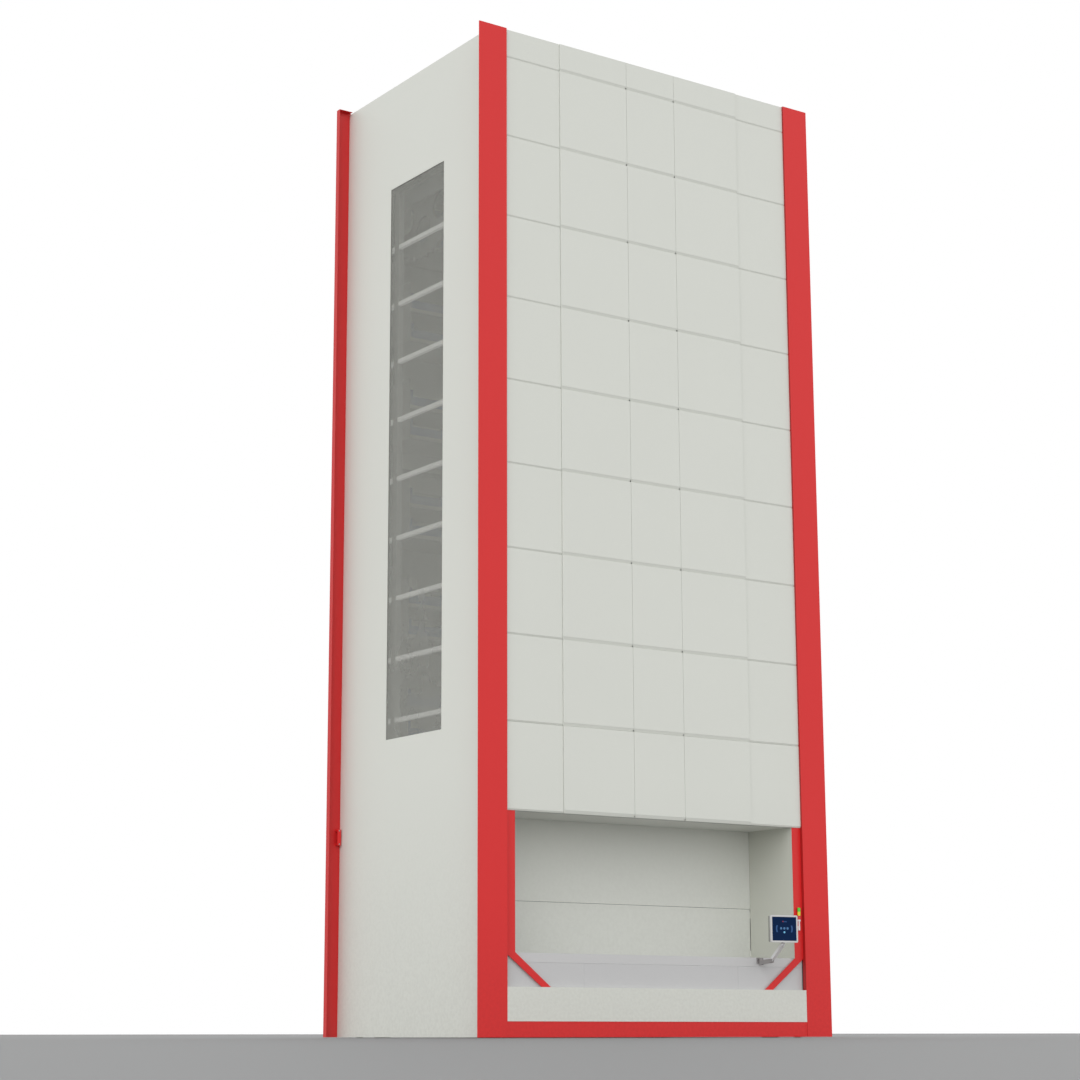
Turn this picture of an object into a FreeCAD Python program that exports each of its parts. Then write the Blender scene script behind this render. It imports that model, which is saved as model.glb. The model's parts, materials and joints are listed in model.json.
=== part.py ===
"""Tall vertical carousel store: level carriers with bins on two chain loops, in a clad steel tower.

Frame: millimetres, +X to the right, +Y to the rear, +Z up.
The origin is on the floor, at the centre of the footprint.
"""
import FreeCAD, Part
import math
import os

# ---------------------------------------------------------------- overall sizes
WIDTH = 4100.0            # over the corner posts
DEPTH = 2705.0            # front post face to rear post face
POST_HEIGHT = 9488.0

# ---------------------------------------------------------------- cladding
SHEET = 3.0               # folded sheet
FLANGE = 24.0             # return flange of a panel
POST_FACE = 313.0         # width of a corner post
POST_OVERHANG = 154.0     # post beyond the side wall
POST_OUTER_LIP = 10.0
POST_INNER_LIP = 45.0
REAR_POST_LIP = 60.0
SIDE_SETBACK = 21.0       # side column of the front, behind the post face
WING_SETBACK = 10.0       # middle columns of the front, behind the post face
SILL_SETBACK = 4.0        # front sill, behind the post face
REAR_SETBACK = 40.0       # rear cladding, inside the rear post face
WALL_BELOW = 15.0         # side wall below the post tops
PANELS_BELOW = 4.0        # front panels below the post tops
CENTRE_HALF = 298.0       # half width of the centre column
WING_EDGE = 1105.0        # outer edge of the wing columns
ROW_START = 2000.0        # lower edge of the front panels
ROW_PITCH = 800.0
SEAM = 3.0                # gap between two panels
DRIP_HEIGHT = 30.0        # sloped lower edge of a panel in the middle columns
SIDE_DRIP = 15.0          # sloped lower edge of a panel in the side columns
SIDE_DRIP_IN = 8.0        # how far that edge leans back
CORNER_NOTCH = 7.0        # relief at the lower corners of a middle panel
ROOF_SEAM = 620.0         # seams of the roof, from the middle
REAR_SEAM_LOW = 760.0     # seam beside the doorway
REAR_SEAM_LEFT = -600.0   # seams above the doorway
REAR_SEAM_RIGHT = 580.0
PULL_LOW = 1845.0         # pull handle on the left rear post
PULL_HIGH = 2000.0
PULL_INSET = 14.0         # from the side wall
PULL_WIDE = 36.0
PULL_OUT = 46.0
PULL_BAR = 12.0
PULL_FOOT = 20.0
FLOOR_GAP = 5.0           # cladding above the floor
FIT = 0.3                 # pieces that stand next to each other without touching

# ---------------------------------------------------------------- window in the left wall
WINDOW_HALF = 495.0
WINDOW_LOW = 2800.0
WINDOW_BELOW = 1108.0     # window below the post tops
PANE = 6.0
GASKET = 4.0
GASKET_DEPTH = 14.0

# ---------------------------------------------------------------- frame
TUBE_WALL = 4.0
BASE_LOW = 30.0
BASE_HIGH = 140.0
BASE_RAIL = 80.0
WALL_GAP = 76.0           # side frame to the fold of the side wall
FRAME_THICK = 60.0
UPRIGHT = 80.0
RUNG = 40.0
RUNG_PITCH = 600.0
FRAME_BELOW = 108.0       # side frame below the post tops
INNER_UPRIGHT = 498.0     # inner face of the two inner uprights
RAIL_DEEP = 40.0
TOP_TIE = 50.0            # height of the beams over the side frames
FOOT_INSET = 96.0         # feet and anchors, from the outside of the frame
FOOT_R = 38.0
FOOT_PAD = 12.0
STUD_R = 12.0
ANCHOR_INSET = 156.0
ANCHOR_Y = 900.0
ANCHOR_HOLE_R = 9.0
ANCHOR_PLATE = 12.0
ANCHOR_HALF = 50.0        # half width of an anchor plate
BLOCK = 40.0              # square of a cladding bracket
WALL_FIXING_LOW = 400.0   # lowest bracket of the side walls
WALL_FIXING_PITCH = 1600.0
WALL_FIXING_TOP = 180.0   # highest bracket below the frame's top
POST_FIXINGS = (85.0, 1000.0)

# ---------------------------------------------------------------- work bay
BAY_FRAME_WIDE = 105.0    # red upright beside the bay
BAY_DEPTH = 690.0         # back of the bay, behind the post face
BAY_LOW = 744.0           # counter height
LEAF_SPLIT = 1240.0       # where the two shutter leaves meet
LEAF = 20.0
LEAF_GAP = 3.0
SHOE_REACH = 52.0         # guide shoe beyond the bay wall
SHOE_SIDE = 2.0           # rail slot beyond the leaf, on each side
LOWER_END_GAP = 5.0       # lower leaf to the bay wall
UPPER_LAP = 7.0           # upper leaf beyond the bay wall
LEAF_SLIT = 2.0           # face of the leaves to the lips of the liners
LINER_GAP = 10.0          # face of the leaves to the folds of the liners
RAIL_LOW = 200.0
RAIL_HIGH = 2790.0
RAIL_STAY_DROP = 205.0    # rail bracket below the lower shaft
APRON_SETBACK = 55.0
APRON_DEEP = 20.0
APRON_SEAM = 1.0
APRON_SEAM_LEFT = -864.0
APRON_SEAM_RIGHT = 935.0
BAY_FRAME_SETBACK = 33.0
BAY_FRAME_PLATE = 5.0
COUNTER_THICK = 84.0
COUNTER_PANEL_HIGH = 443.0
SILL_HIGH = 144.0
BRACE_OUT = 1345.0        # outer lower corner of the diagonal
BRACE_IN = 1246.0         # inner lower corner of the diagonal
BRACE_TOP = 740.0         # outer upper corner of the diagonal
GUSSETS = (-1500.0, -500.0, 500.0, 1500.0)
GUSSET = 10.0

# ---------------------------------------------------------------- carousel
CHAIN_PITCH = 101.6
SPROCKET_TEETH = 40       # a multiple of four: a carrier every quarter turn
SUMP_CLEAR = 17.0         # lowest carrier over the base frame
SHUTTER_CLEAR = 20.0      # carriers to the shutter
CREST_CLEAR = 50.0        # topmost carrier under the roof beams
SHAFT_R = 50.0
BORE_CLEAR = 0.05
SPROCKET_THICK = 24.0
TOOTH_ROOT = 16.0         # below the pitch line
TOOTH_TIP = 12.0          # above it
HUB_R = 90.0
WHEEL_HOLES = 6
WHEEL_HOLE_R = 140.0
WHEEL_HOLE_AT = 360.0     # from the shaft to the middle of a hole
BEARING_PLATE = 12.0
BEARING_LONG = 40.0
BEARING_HALF = 90.0       # half the square of a housing
CHAIN_INSET = 116.0       # middle of the chain, from the inside of the side frame
CHAIN_PLATE = 6.0
CHAIN_HALF = 22.0
CARRIER_INSET = 74.0      # end plate of a carrier, from the middle of the chain
CARRIER_SPACE = 87.0      # a carrier is this much shallower than the loop's radius
CARRIER_BELOW = 400.0     # pin to underside
CARRIER_ABOVE = 220.0     # pin to top edge
END_PLATE = 6.0
TRAY_LIP = 40.0
SHELF_RISE = 310.0        # lower tray to upper tray
PIN_R = 16.0
ARM_REACH = 170.0
ARM_THICK = 8.0
ROLLER_R = 20.0
ROLLER_CLEAR = 2.0
CHANNEL_END = 30.0
BIN_COUNT = 6
BIN_GAP = 10.0
BIN_SPACE = 50.0          # a bin is this much shallower than its carrier
BIN_HIGH = 200.0
BIN_WALL = 4.0
BIN_MOUTH = 70.0          # height of the cut in the front of a bin

# ---------------------------------------------------------------- drive
DRIVE_INSET = 73.0        # drive wheels, from the inside of the side frame
DRIVE_THICK = 12.0
DRIVE_CHAIN_PITCH = 25.4
DRIVE_TEETH = 75          # wheel on the lower shaft
PINION_TEETH = 15
DRIVE_CHAIN_HALF = 10.0
DRIVE_CHAIN_PLATE = 3.0
MOTOR_GAP = 73.5          # motor axis in front of the rear base rail
MOTOR_Z = 245.0
MOTOR_R = 85.0
MOTOR_LONG = 380.0
FAN_COVER = 80.0
GEARBOX_WIDE = 160.0
GEARBOX_GAP = 23.0        # gearbox to the pinion
STUB_R = 24.0
PINION_HUB_R = 38.0

# ---------------------------------------------------------------- control panel and lamp
HMI_BASE_X = 1197.0
HMI_BASE_Z = 723.0
HMI_BASE_OUT = 34.0       # pivot in front of the counter's nose
HUB_TOP = 10.0            # above HMI_BASE_Z
HUB_DROP = 49.0           # below HMI_BASE_Z
HMI_WIDTH = 300.0
HMI_HIGH = 254.0
HMI_FRAME = 16.0          # bezel round the screen
HMI_BEZEL = 20.0
HMI_BACK = 34.0
HMI_TURN = 8.0            # degrees towards the left
SCREEN_GAP = 0.1
ARM_HALF = 19.0           # half width of both arms
LOWER_BAR = 18.0          # half thickness of the lower arm
UPPER_BAR = 14.0          # half thickness of the upper arm
LOWER_BAR_DROP = 23.0     # lower arm at the hub, below HMI_BASE_Z
TONGUE = 8.0
TONGUE_R = 34.0           # room for a tongue round its pin
ARM_PIN_R = 5.0
BASE_PIN_R = 8.0
ELBOW_OUT = 180.0
ELBOW_DROP = 13.0
HEAD_OUT = 171.0
HEAD_RISE = 149.0
HEAD_DROP = 16.0          # tilt pin below the housing
LAMP_INSET = 57.0         # signal light, from the corner post
LAMP_R = 15.0
LAMP_HIGH = 38.0
LAMP_LOW_Z = 1113.0
LAMP_COLLAR = 16.0
LAMP_STAND_OFF = 4.0      # lamp to the bay frame
POLE_R = 8.0
POLE_LOW_Z = 1011.0

# ---------------------------------------------------------------- control cabinet and cable gland
CABINET_DEEP = 260.0
CABINET_CLEAR = 77.5      # cabinet in front of the shutter
CABINET_LOW = 2140.0
CABINET_HIGH = 3040.0
CABINET_SHEET = 2.0
CABINET_COVER = 4.0
GLAND_X = 1500.0
GLAND_Z = 260.0
GLAND_BORE_R = 12.0
GLAND_NECK_R = 20.0
GLAND_FLANGE_R = 32.0
GLAND_OUT = 26.0          # neck beyond the panel

# ---------------------------------------------------------------- rear door
DOOR_LEFT = -1000.0
DOOR_RIGHT = -200.0
DOOR_LOW = 150.0
DOOR_HIGH = 2000.0
REAR_ROW = 1850.0
HINGE_HEIGHTS = (400.0, 1700.0)
HINGE_OUT = 12.0          # hinge pin behind the door face
HINGE_LEAF = 4.0
KNUCKLE = 50.0
KNUCKLE_R = 9.0
HINGE_PIN_R = 4.0
HANDLE_INSET = 70.0
HANDLE_Z = 1050.0
SPINDLE_R = 8.0

# ---------------------------------------------------------------- worked out
FRONT = -DEPTH / 2
REAR = DEPTH / 2
HALF = WIDTH / 2
WALL_OUT = HALF - POST_OVERHANG
WALL_IN = WALL_OUT - FLANGE
POST_IN = HALF - POST_FACE
SIDE_FACE = FRONT + SIDE_SETBACK
WING_FACE = FRONT + WING_SETBACK
REAR_FACE = REAR - REAR_SETBACK
RAIL_FACE = FLANGE - REAR_FACE
UPRIGHT_FRONT = RAIL_FACE + RAIL_DEEP
WALL_HEIGHT = POST_HEIGHT - WALL_BELOW
FRONT_TOP = POST_HEIGHT - PANELS_BELOW
ROW_COUNT = int((FRONT_TOP - ROW_START) // ROW_PITCH)
WINDOW_HIGH = POST_HEIGHT - WINDOW_BELOW
FRAME_HIGH = POST_HEIGHT - FRAME_BELOW
WALL_FIXINGS = int((FRAME_HIGH - WALL_FIXING_LOW) // WALL_FIXING_PITCH) + 1
RUNG_COUNT = int((FRAME_HIGH - RUNG) // RUNG_PITCH)
REAR_FIXINGS = int((FRAME_HIGH - DOOR_HIGH) // REAR_ROW) + 1
FRAME_OUT = WALL_IN - WALL_GAP
FRAME_IN = FRAME_OUT - FRAME_THICK
FOOT_X = FRAME_OUT - FOOT_INSET
ANCHOR_X = FRAME_OUT - ANCHOR_INSET
BAY_HALF = POST_IN - BAY_FRAME_WIDE
SHOE_END = BAY_HALF + SHOE_REACH
LAMP_X = POST_IN - LAMP_INSET
BACK_FACE = FRONT + BAY_DEPTH
SLOPE_IN = SIDE_SETBACK - WING_SETBACK
LINK_ANGLE = math.pi / SPROCKET_TEETH
LOOP_R = CHAIN_PITCH / (2 * math.sin(LINK_ANGLE))
PITCH = CHAIN_PITCH * SPROCKET_TEETH / 4
CARRIER_DEPTH = float(math.floor(LOOP_R - CARRIER_SPACE))
BIN_DEPTH = CARRIER_DEPTH - BIN_SPACE
LOW_SHAFT_Z = float(math.ceil(BASE_HIGH + SUMP_CLEAR + CARRIER_BELOW + LOOP_R))
CREST_Z = FRAME_HIGH - CREST_CLEAR - CARRIER_ABOVE - LOOP_R
PITCHES_UP = int((CREST_Z - LOW_SHAFT_Z) // PITCH)
LOOP_Y = float(math.ceil(BACK_FACE + LEAF + SHUTTER_CLEAR + CARRIER_DEPTH / 2 + LOOP_R))
CHAIN_PLANE = FRAME_IN - CHAIN_INSET
CARRIER_HALF = CHAIN_PLANE - CARRIER_INSET
DRIVE_PLANE = FRAME_IN - DRIVE_INSET
GEARBOX_OUT = DRIVE_PLANE - GEARBOX_GAP
GEARBOX_IN = GEARBOX_OUT - GEARBOX_WIDE
CABINET_REAR = BACK_FACE - CABINET_CLEAR
MOTOR_Y = -RAIL_FACE - BASE_RAIL - MOTOR_GAP
TOP_SHAFT_Z = LOW_SHAFT_Z + PITCHES_UP * PITCH
FRONT_RUN_Y = LOOP_Y - LOOP_R
REAR_RUN_Y = LOOP_Y + LOOP_R
DRIVE_BIG_R = DRIVE_CHAIN_PITCH / (2 * math.sin(math.pi / DRIVE_TEETH))
DRIVE_SMALL_R = DRIVE_CHAIN_PITCH / (2 * math.sin(math.pi / PINION_TEETH))
CHAIN_IN = CHAIN_PLANE - SPROCKET_THICK / 2 - FIT - CHAIN_PLATE
BEARING_IN = FRAME_IN - BEARING_PLATE - BEARING_LONG
NOSE_FACE = FRONT + APRON_SETBACK
BASE_Y = NOSE_FACE - HMI_BASE_OUT
ELBOW_Y = NOSE_FACE - ELBOW_OUT
ELBOW_Z = HMI_BASE_Z - ELBOW_DROP
HEAD_Y = ELBOW_Y - HEAD_OUT
HEAD_Z = ELBOW_Z + HEAD_RISE
HEAD_LOW = HEAD_Z + HEAD_DROP
BEZEL_BACK = HEAD_Y - 16
LAMP_Y = FRONT + BAY_FRAME_SETBACK - LAMP_R - LAMP_STAND_OFF
HINGE_Y = REAR_FACE + HINGE_OUT
HINGE_X = DOOR_LEFT - SEAM / 2
HANDLE_X = DOOR_RIGHT - HANDLE_INSET

V = FreeCAD.Vector
X_AXIS = V(1, 0, 0)
Y_AXIS = V(0, 1, 0)
Z_AXIS = V(0, 0, 1)


# ---------------------------------------------------------------- helpers
def box(x0, x1, y0, y1, z0, z1):
    return Part.makeBox(x1 - x0, y1 - y0, z1 - z0, V(x0, y0, z0))


def rod(radius, start, direction, length):
    return Part.makeCylinder(radius, length, start, direction)


def prism_x(points, x0, x1):
    """Extrude an outline of (y, z) points from x0 to x1."""
    outline = [V(x0, y, z) for y, z in points]
    return Part.Face(Part.makePolygon(outline + outline[:1])).extrude(V(x1 - x0, 0, 0))


def prism_y(points, y0, y1):
    """Extrude an outline of (x, z) points from y0 to y1."""
    outline = [V(x, y0, z) for x, z in points]
    return Part.Face(Part.makePolygon(outline + outline[:1])).extrude(V(0, y1 - y0, 0))


def tube(x0, x1, y0, y1, z0, z1, along):
    """Rectangular tube, open at both ends of the axis named in along."""
    wall = TUBE_WALL
    grow = {a: (-1.0 if a == along else wall) for a in "xyz"}
    hole = box(x0 + grow["x"], x1 - grow["x"], y0 + grow["y"], y1 - grow["y"],
               z0 + grow["z"], z1 - grow["z"])
    return box(x0, x1, y0, y1, z0, z1).cut(hole)


def front_pan(x0, x1, z0, z1, face, depth):
    """Folded panel with its skin at y = face, facing the front."""
    hollow = box(x0 + SHEET, x1 - SHEET, face + SHEET, face + depth + 1, z0 + SHEET, z1 - SHEET)
    return box(x0, x1, face, face + depth, z0, z1).cut(hollow)


def rear_pan(x0, x1, z0, z1, face, depth):
    hollow = box(x0 + SHEET, x1 - SHEET, face - depth - 1, face - SHEET, z0 + SHEET, z1 - SHEET)
    return box(x0, x1, face - depth, face, z0, z1).cut(hollow)


def mirrored(shape):
    return shape.mirror(V(0, 0, 0), X_AXIS)


def both_sides(shapes):
    return shapes + [mirrored(s) for s in shapes]


def save(name, shapes):
    solids = []
    for shape in shapes:
        solids += shape.Solids
    Part.makeCompound(solids).exportStep("parts/%s.step" % name)
    print(name, len(solids), "solids")


# ---------------------------------------------------------------- base and frame
def base_frame():
    front, rear = RAIL_FACE, -RAIL_FACE
    low, high = BASE_LOW, BASE_HIGH
    pieces = [tube(-FRAME_OUT, FRAME_OUT, front, front + BASE_RAIL, low, high, "x"),
              tube(-FRAME_OUT, FRAME_OUT, rear - BASE_RAIL, rear, low, high, "x")]
    inner = FRAME_OUT - BASE_RAIL
    side = tube(inner, FRAME_OUT, front + BASE_RAIL, rear - BASE_RAIL, low, high, "y")
    pieces += both_sides([side])
    for y in (-INNER_UPRIGHT - UPRIGHT, INNER_UPRIGHT):
        pieces.append(tube(-inner, inner, y, y + UPRIGHT, low, high, "x"))
    for y in (-ANCHOR_Y, ANCHOR_Y):
        y0, y1 = y - ANCHOR_HALF, y + ANCHOR_HALF
        foot = box(ANCHOR_X - ANCHOR_HALF, inner, y0, y1, 0, ANCHOR_PLATE)
        leg = box(inner - ANCHOR_PLATE, inner, y0, y1, 0, high - TUBE_WALL)
        hole = rod(ANCHOR_HOLE_R, V(ANCHOR_X, y, -1), Z_AXIS, ANCHOR_PLATE + 2)
        pieces += both_sides([foot.fuse(leg).removeSplitter().cut(hole)])
    return pieces


def levelling_feet():
    pieces = []
    for x in (-FOOT_X, 0.0, FOOT_X):
        for y in (RAIL_FACE + BASE_RAIL / 2, -RAIL_FACE - BASE_RAIL / 2):
            pad = Part.makeCone(FOOT_R, FOOT_R * 0.6, FOOT_PAD, V(x, y, 0), Z_AXIS)
            pieces.append(pad.fuse(rod(STUD_R, V(x, y, 0), Z_AXIS, BASE_LOW)).removeSplitter())
    return pieces


def side_frame():
    """Right-hand ladder frame: four uprights, rungs in the middle and ties at both ends."""
    uprights = [UPRIGHT_FRONT, -INNER_UPRIGHT - UPRIGHT, INNER_UPRIGHT, -UPRIGHT_FRONT - UPRIGHT]
    pieces = []
    for y in uprights:
        pieces.append(tube(FRAME_IN, FRAME_OUT, y, y + UPRIGHT, BASE_HIGH, FRAME_HIGH, "z"))
    for k in range(1, RUNG_COUNT + 1):
        z = k * RUNG_PITCH
        x0 = FRAME_OUT - RUNG
        spans = [(-INNER_UPRIGHT, INNER_UPRIGHT), (INNER_UPRIGHT + UPRIGHT, uprights[3])]
        if k % 2 == 0:
            spans.append((UPRIGHT_FRONT + UPRIGHT, uprights[1]))
        for y0, y1 in spans:
            pieces.append(tube(x0, FRAME_OUT, y0, y1, z - RUNG / 2, z + RUNG / 2, "y"))
    return pieces


def cross_beams():
    """Ties between the two side frames, on top of them and behind the bay."""
    pieces = []
    for y in (UPRIGHT_FRONT, -INNER_UPRIGHT - UPRIGHT, INNER_UPRIGHT, -UPRIGHT_FRONT - UPRIGHT):
        pieces.append(tube(-FRAME_OUT, FRAME_OUT, y, y + UPRIGHT, FRAME_HIGH, FRAME_HIGH + TOP_TIE, "x"))
    return pieces


def panel_rails():
    pieces = []
    half = RAIL_DEEP / 2
    for k in range(ROW_COUNT + 1):
        z = ROW_START + k * ROW_PITCH
        z0 = z if k == 0 else z - half
        pieces.append(tube(-FRAME_OUT, FRAME_OUT, RAIL_FACE, UPRIGHT_FRONT, z0, z0 + RAIL_DEEP, "x"))
    z = DOOR_HIGH + SEAM / 2
    while z < FRAME_HIGH:
        pieces.append(tube(-FRAME_OUT, FRAME_OUT, -UPRIGHT_FRONT, -RAIL_FACE, z - half, z + half, "x"))
        z += REAR_ROW
    return pieces


def cladding_brackets():
    """Blocks that hold the side walls on the uprights and the posts on the rails."""
    pieces = []
    half = BLOCK / 2
    thin = half - 5
    heights = [WALL_FIXING_LOW + k * WALL_FIXING_PITCH for k in range(WALL_FIXINGS)]
    for z in heights + [FRAME_HIGH - WALL_FIXING_TOP]:
        for y in (UPRIGHT_FRONT + UPRIGHT / 2, -UPRIGHT_FRONT - UPRIGHT / 2):
            pieces.append(box(FRAME_OUT, WALL_IN, y - half, y + half, z - half, z + half))
    x0 = FRAME_OUT - BLOCK
    front, rear = FRONT + SHEET, REAR - SHEET
    for k in range(ROW_COUNT + 1):
        z = ROW_START + k * ROW_PITCH + (RAIL_DEEP / 2 if k == 0 else 0)
        pieces.append(box(x0, FRAME_OUT, front, RAIL_FACE, z - thin, z + thin))
    for k in range(REAR_FIXINGS):
        z = DOOR_HIGH + SEAM / 2 + k * REAR_ROW
        pieces.append(box(x0, FRAME_OUT, -RAIL_FACE, rear, z - thin, z + thin))
    for z in POST_FIXINGS:
        back = RAIL_FACE if z < BASE_HIGH else UPRIGHT_FRONT
        pieces.append(box(x0, FRAME_OUT, front, back, z - thin, z + thin))
        pieces.append(box(x0, FRAME_OUT, -back, rear, z - thin, z + thin))
    return both_sides(pieces)


# ---------------------------------------------------------------- cladding
def front_post():
    """Right front post: a face with a shallow outer lip and a deeper inner one."""
    low = FLOOR_GAP
    face = box(POST_IN, HALF, FRONT, FRONT + SHEET, low, POST_HEIGHT)
    outer = box(HALF - SHEET, HALF, FRONT, FRONT + POST_OUTER_LIP, low, POST_HEIGHT)
    inner = box(POST_IN, POST_IN + SHEET, FRONT, FRONT + POST_INNER_LIP, low, POST_HEIGHT)
    return face.fuse([outer, inner]).removeSplitter()


def rear_post():
    """Right rear post: an open tray of sheet with its lips turned to the front."""
    low = FLOOR_GAP
    face = box(POST_IN, HALF, REAR - SHEET, REAR, low, POST_HEIGHT)
    outer = box(HALF - SHEET, HALF, REAR - REAR_POST_LIP, REAR, low, POST_HEIGHT)
    inner = box(POST_IN, POST_IN + SHEET, REAR_FACE + FIT, REAR, low, POST_HEIGHT)
    top = box(WALL_OUT + FIT, HALF, REAR - REAR_POST_LIP, REAR, POST_HEIGHT - SHEET, POST_HEIGHT)
    return face.fuse([outer, inner, top]).removeSplitter()


def rear_post_handle():
    """Pull handle on the front-facing side of the left rear post, beside the wall."""
    x1 = -WALL_OUT - PULL_INSET
    x0 = x1 - PULL_WIDE
    y1 = REAR - SHEET
    y0 = y1 - PULL_OUT
    grip = box(x0, x1, y0, y0 + PULL_BAR, PULL_LOW, PULL_HIGH)
    low = box(x0, x1, y0 + PULL_BAR, y1, PULL_LOW, PULL_LOW + PULL_FOOT)
    high = box(x0, x1, y0 + PULL_BAR, y1, PULL_HIGH - PULL_FOOT, PULL_HIGH)
    return grip.fuse([low, high]).removeSplitter()


def side_panel(with_window):
    """Right side wall, one folded sheet from post to post."""
    y0 = FRONT + SHEET + FIT
    skin = box(WALL_IN, WALL_OUT, y0, -y0, FLOOR_GAP, WALL_HEIGHT)
    hollow = box(WALL_IN - 1, WALL_OUT - SHEET, y0 + SHEET, -y0 - SHEET, FLOOR_GAP + SHEET,
                 WALL_HEIGHT - SHEET)
    panel = skin.cut(hollow)
    if with_window:
        panel = panel.cut(box(WALL_IN - 2, WALL_OUT + 1, -WINDOW_HALF, WINDOW_HALF, WINDOW_LOW, WINDOW_HIGH))
    return panel


def window_gasket():
    """Rubber frame that lies behind the sheet and in the edge of the cut."""
    outer = box(WALL_OUT - SHEET - GASKET_DEPTH, WALL_OUT - SHEET, -WINDOW_HALF - 20, WINDOW_HALF + 20,
                WINDOW_LOW - 20, WINDOW_HIGH + 20)
    hole = box(WALL_IN - 5, WALL_OUT + 1, -WINDOW_HALF + GASKET, WINDOW_HALF - GASKET,
               WINDOW_LOW + GASKET, WINDOW_HIGH - GASKET)
    x1 = WALL_OUT - SHEET
    slot = box(x1 - PANE, x1 + 1, -WINDOW_HALF - 12, WINDOW_HALF + 12, WINDOW_LOW - 12, WINDOW_HIGH + 12)
    return outer.cut(hole).cut(slot)


def window_pane():
    x1 = WALL_OUT - SHEET
    reach = 12 - FIT
    return box(x1 - PANE, x1, -WINDOW_HALF - reach, WINDOW_HALF + reach, WINDOW_LOW - reach,
               WINDOW_HIGH + reach)


def row_limits():
    """Lower and upper edge of each row of front panels, the low top strip included."""
    rows = []
    for k in range(ROW_COUNT):
        z = ROW_START + k * ROW_PITCH
        rows.append((z + (SEAM / 2 if k else 0), z + ROW_PITCH - SEAM / 2))
    rows.append((ROW_START + ROW_COUNT * ROW_PITCH + SEAM / 2, FRONT_TOP))
    return rows


def side_column_panels():
    pieces = []
    for z0, z1 in row_limits():
        x0 = WING_EDGE + SEAM / 2
        pieces.append(sloped_panel(x0, POST_IN - FIT, z0, z1, SIDE_FACE, SIDE_DRIP, SIDE_DRIP_IN))
    return both_sides(pieces)


def sloped_panel(x0, x1, z0, z1, face, rise, lean):
    """Front panel that reaches back to the rails, its lower edge sloped by rise and lean."""
    panel = front_pan(x0, x1, z0, z1, face, RAIL_FACE - face)
    front = face - 1
    foot = face + lean
    wedge = [(front, z0 - 1), (foot, z0 - 1), (foot, z0), (face, z0 + rise), (front, z0 + rise)]
    panel = panel.cut(prism_x(wedge, x0 - 1, x1 + 1))
    slope = [(face + lean, z0), (face, z0 + rise), (face + SHEET, z0 + rise), (face + lean + SHEET, z0)]
    return panel.fuse(prism_x(slope, x0, x1)).removeSplitter()


def middle_panel(x0, x1, z0, z1, notched):
    """Panel of the middle columns, with a relief notch at each lower corner named in notched."""
    panel = sloped_panel(x0, x1, z0, z1, WING_FACE, DRIP_HEIGHT, SLOPE_IN)
    for x in notched:
        panel = panel.cut(box(x - CORNER_NOTCH, x + CORNER_NOTCH, WING_FACE - 1,
                              WING_FACE + SLOPE_IN + CORNER_NOTCH, z0 - 1, z0 + CORNER_NOTCH * 2))
    return panel


def wing_panels():
    pieces = []
    for z0, z1 in row_limits():
        x0 = CENTRE_HALF + SEAM / 2
        pieces.append(middle_panel(x0, WING_EDGE - SEAM / 2, z0, z1, [x0]))
    return both_sides(pieces)


def centre_panels():
    x = CENTRE_HALF - SEAM / 2
    return [middle_panel(-x, x, z0, z1, [-x, x]) for z0, z1 in row_limits()]


def rear_panels():
    """Flat folded panels in three columns, with a doorway in the lowest row."""
    x = POST_IN - FIT
    columns = [(-x, DOOR_LEFT - SEAM), (DOOR_RIGHT + SEAM, REAR_SEAM_LOW), (REAR_SEAM_LOW + SEAM, x)]
    pieces = [rear_pan(x0, x1, DOOR_LOW, DOOR_HIGH, REAR_FACE, FLANGE) for x0, x1 in columns]
    inlet = rod(GLAND_NECK_R + 1, V(GLAND_X, REAR_FACE - FLANGE - 5, GLAND_Z), Y_AXIS, FLANGE + 10)
    pieces[2] = pieces[2].cut(inlet)
    z = DOOR_HIGH + SEAM
    upper = [(-x, REAR_SEAM_LEFT), (REAR_SEAM_LEFT + SEAM, REAR_SEAM_RIGHT), (REAR_SEAM_RIGHT + SEAM, x)]
    while z < FRONT_TOP - 1:
        top = min(z + REAR_ROW - SEAM, FRONT_TOP)
        pieces += [rear_pan(x0, x1, z, top, REAR_FACE, FLANGE) for x0, x1 in upper]
        z += REAR_ROW
    return pieces


def roof_panels():
    z1 = FRAME_HIGH + TOP_TIE + FLANGE
    pieces = []
    edges = [-WALL_IN + FIT, -ROOF_SEAM, ROOF_SEAM, WALL_IN - FIT]
    for x0, x1 in zip(edges, edges[1:]):
        slab = box(x0 + SEAM / 2, x1 - SEAM / 2, RAIL_FACE, -RAIL_FACE, z1 - FLANGE, z1)
        hollow = box(x0 + SHEET * 2, x1 - SHEET * 2, RAIL_FACE + SHEET, -RAIL_FACE - SHEET,
                     z1 - FLANGE - 1, z1 - SHEET)
        pieces.append(slab.cut(hollow))
    return pieces


def sills():
    x = POST_IN - FIT
    face = FRONT + SILL_SETBACK
    return [front_pan(-x, x, FLOOR_GAP, SILL_HIGH - FIT, face, RAIL_FACE - face),
            rear_pan(-x, x, FLOOR_GAP, SILL_HIGH - FIT, REAR_FACE, FLANGE)]


# ---------------------------------------------------------------- work bay
def counter_front():
    x = POST_IN - FIT
    return front_pan(-x, x, SILL_HIGH, COUNTER_PANEL_HIGH, FRONT + 1, APRON_SETBACK - 1 - FIT)


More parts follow.
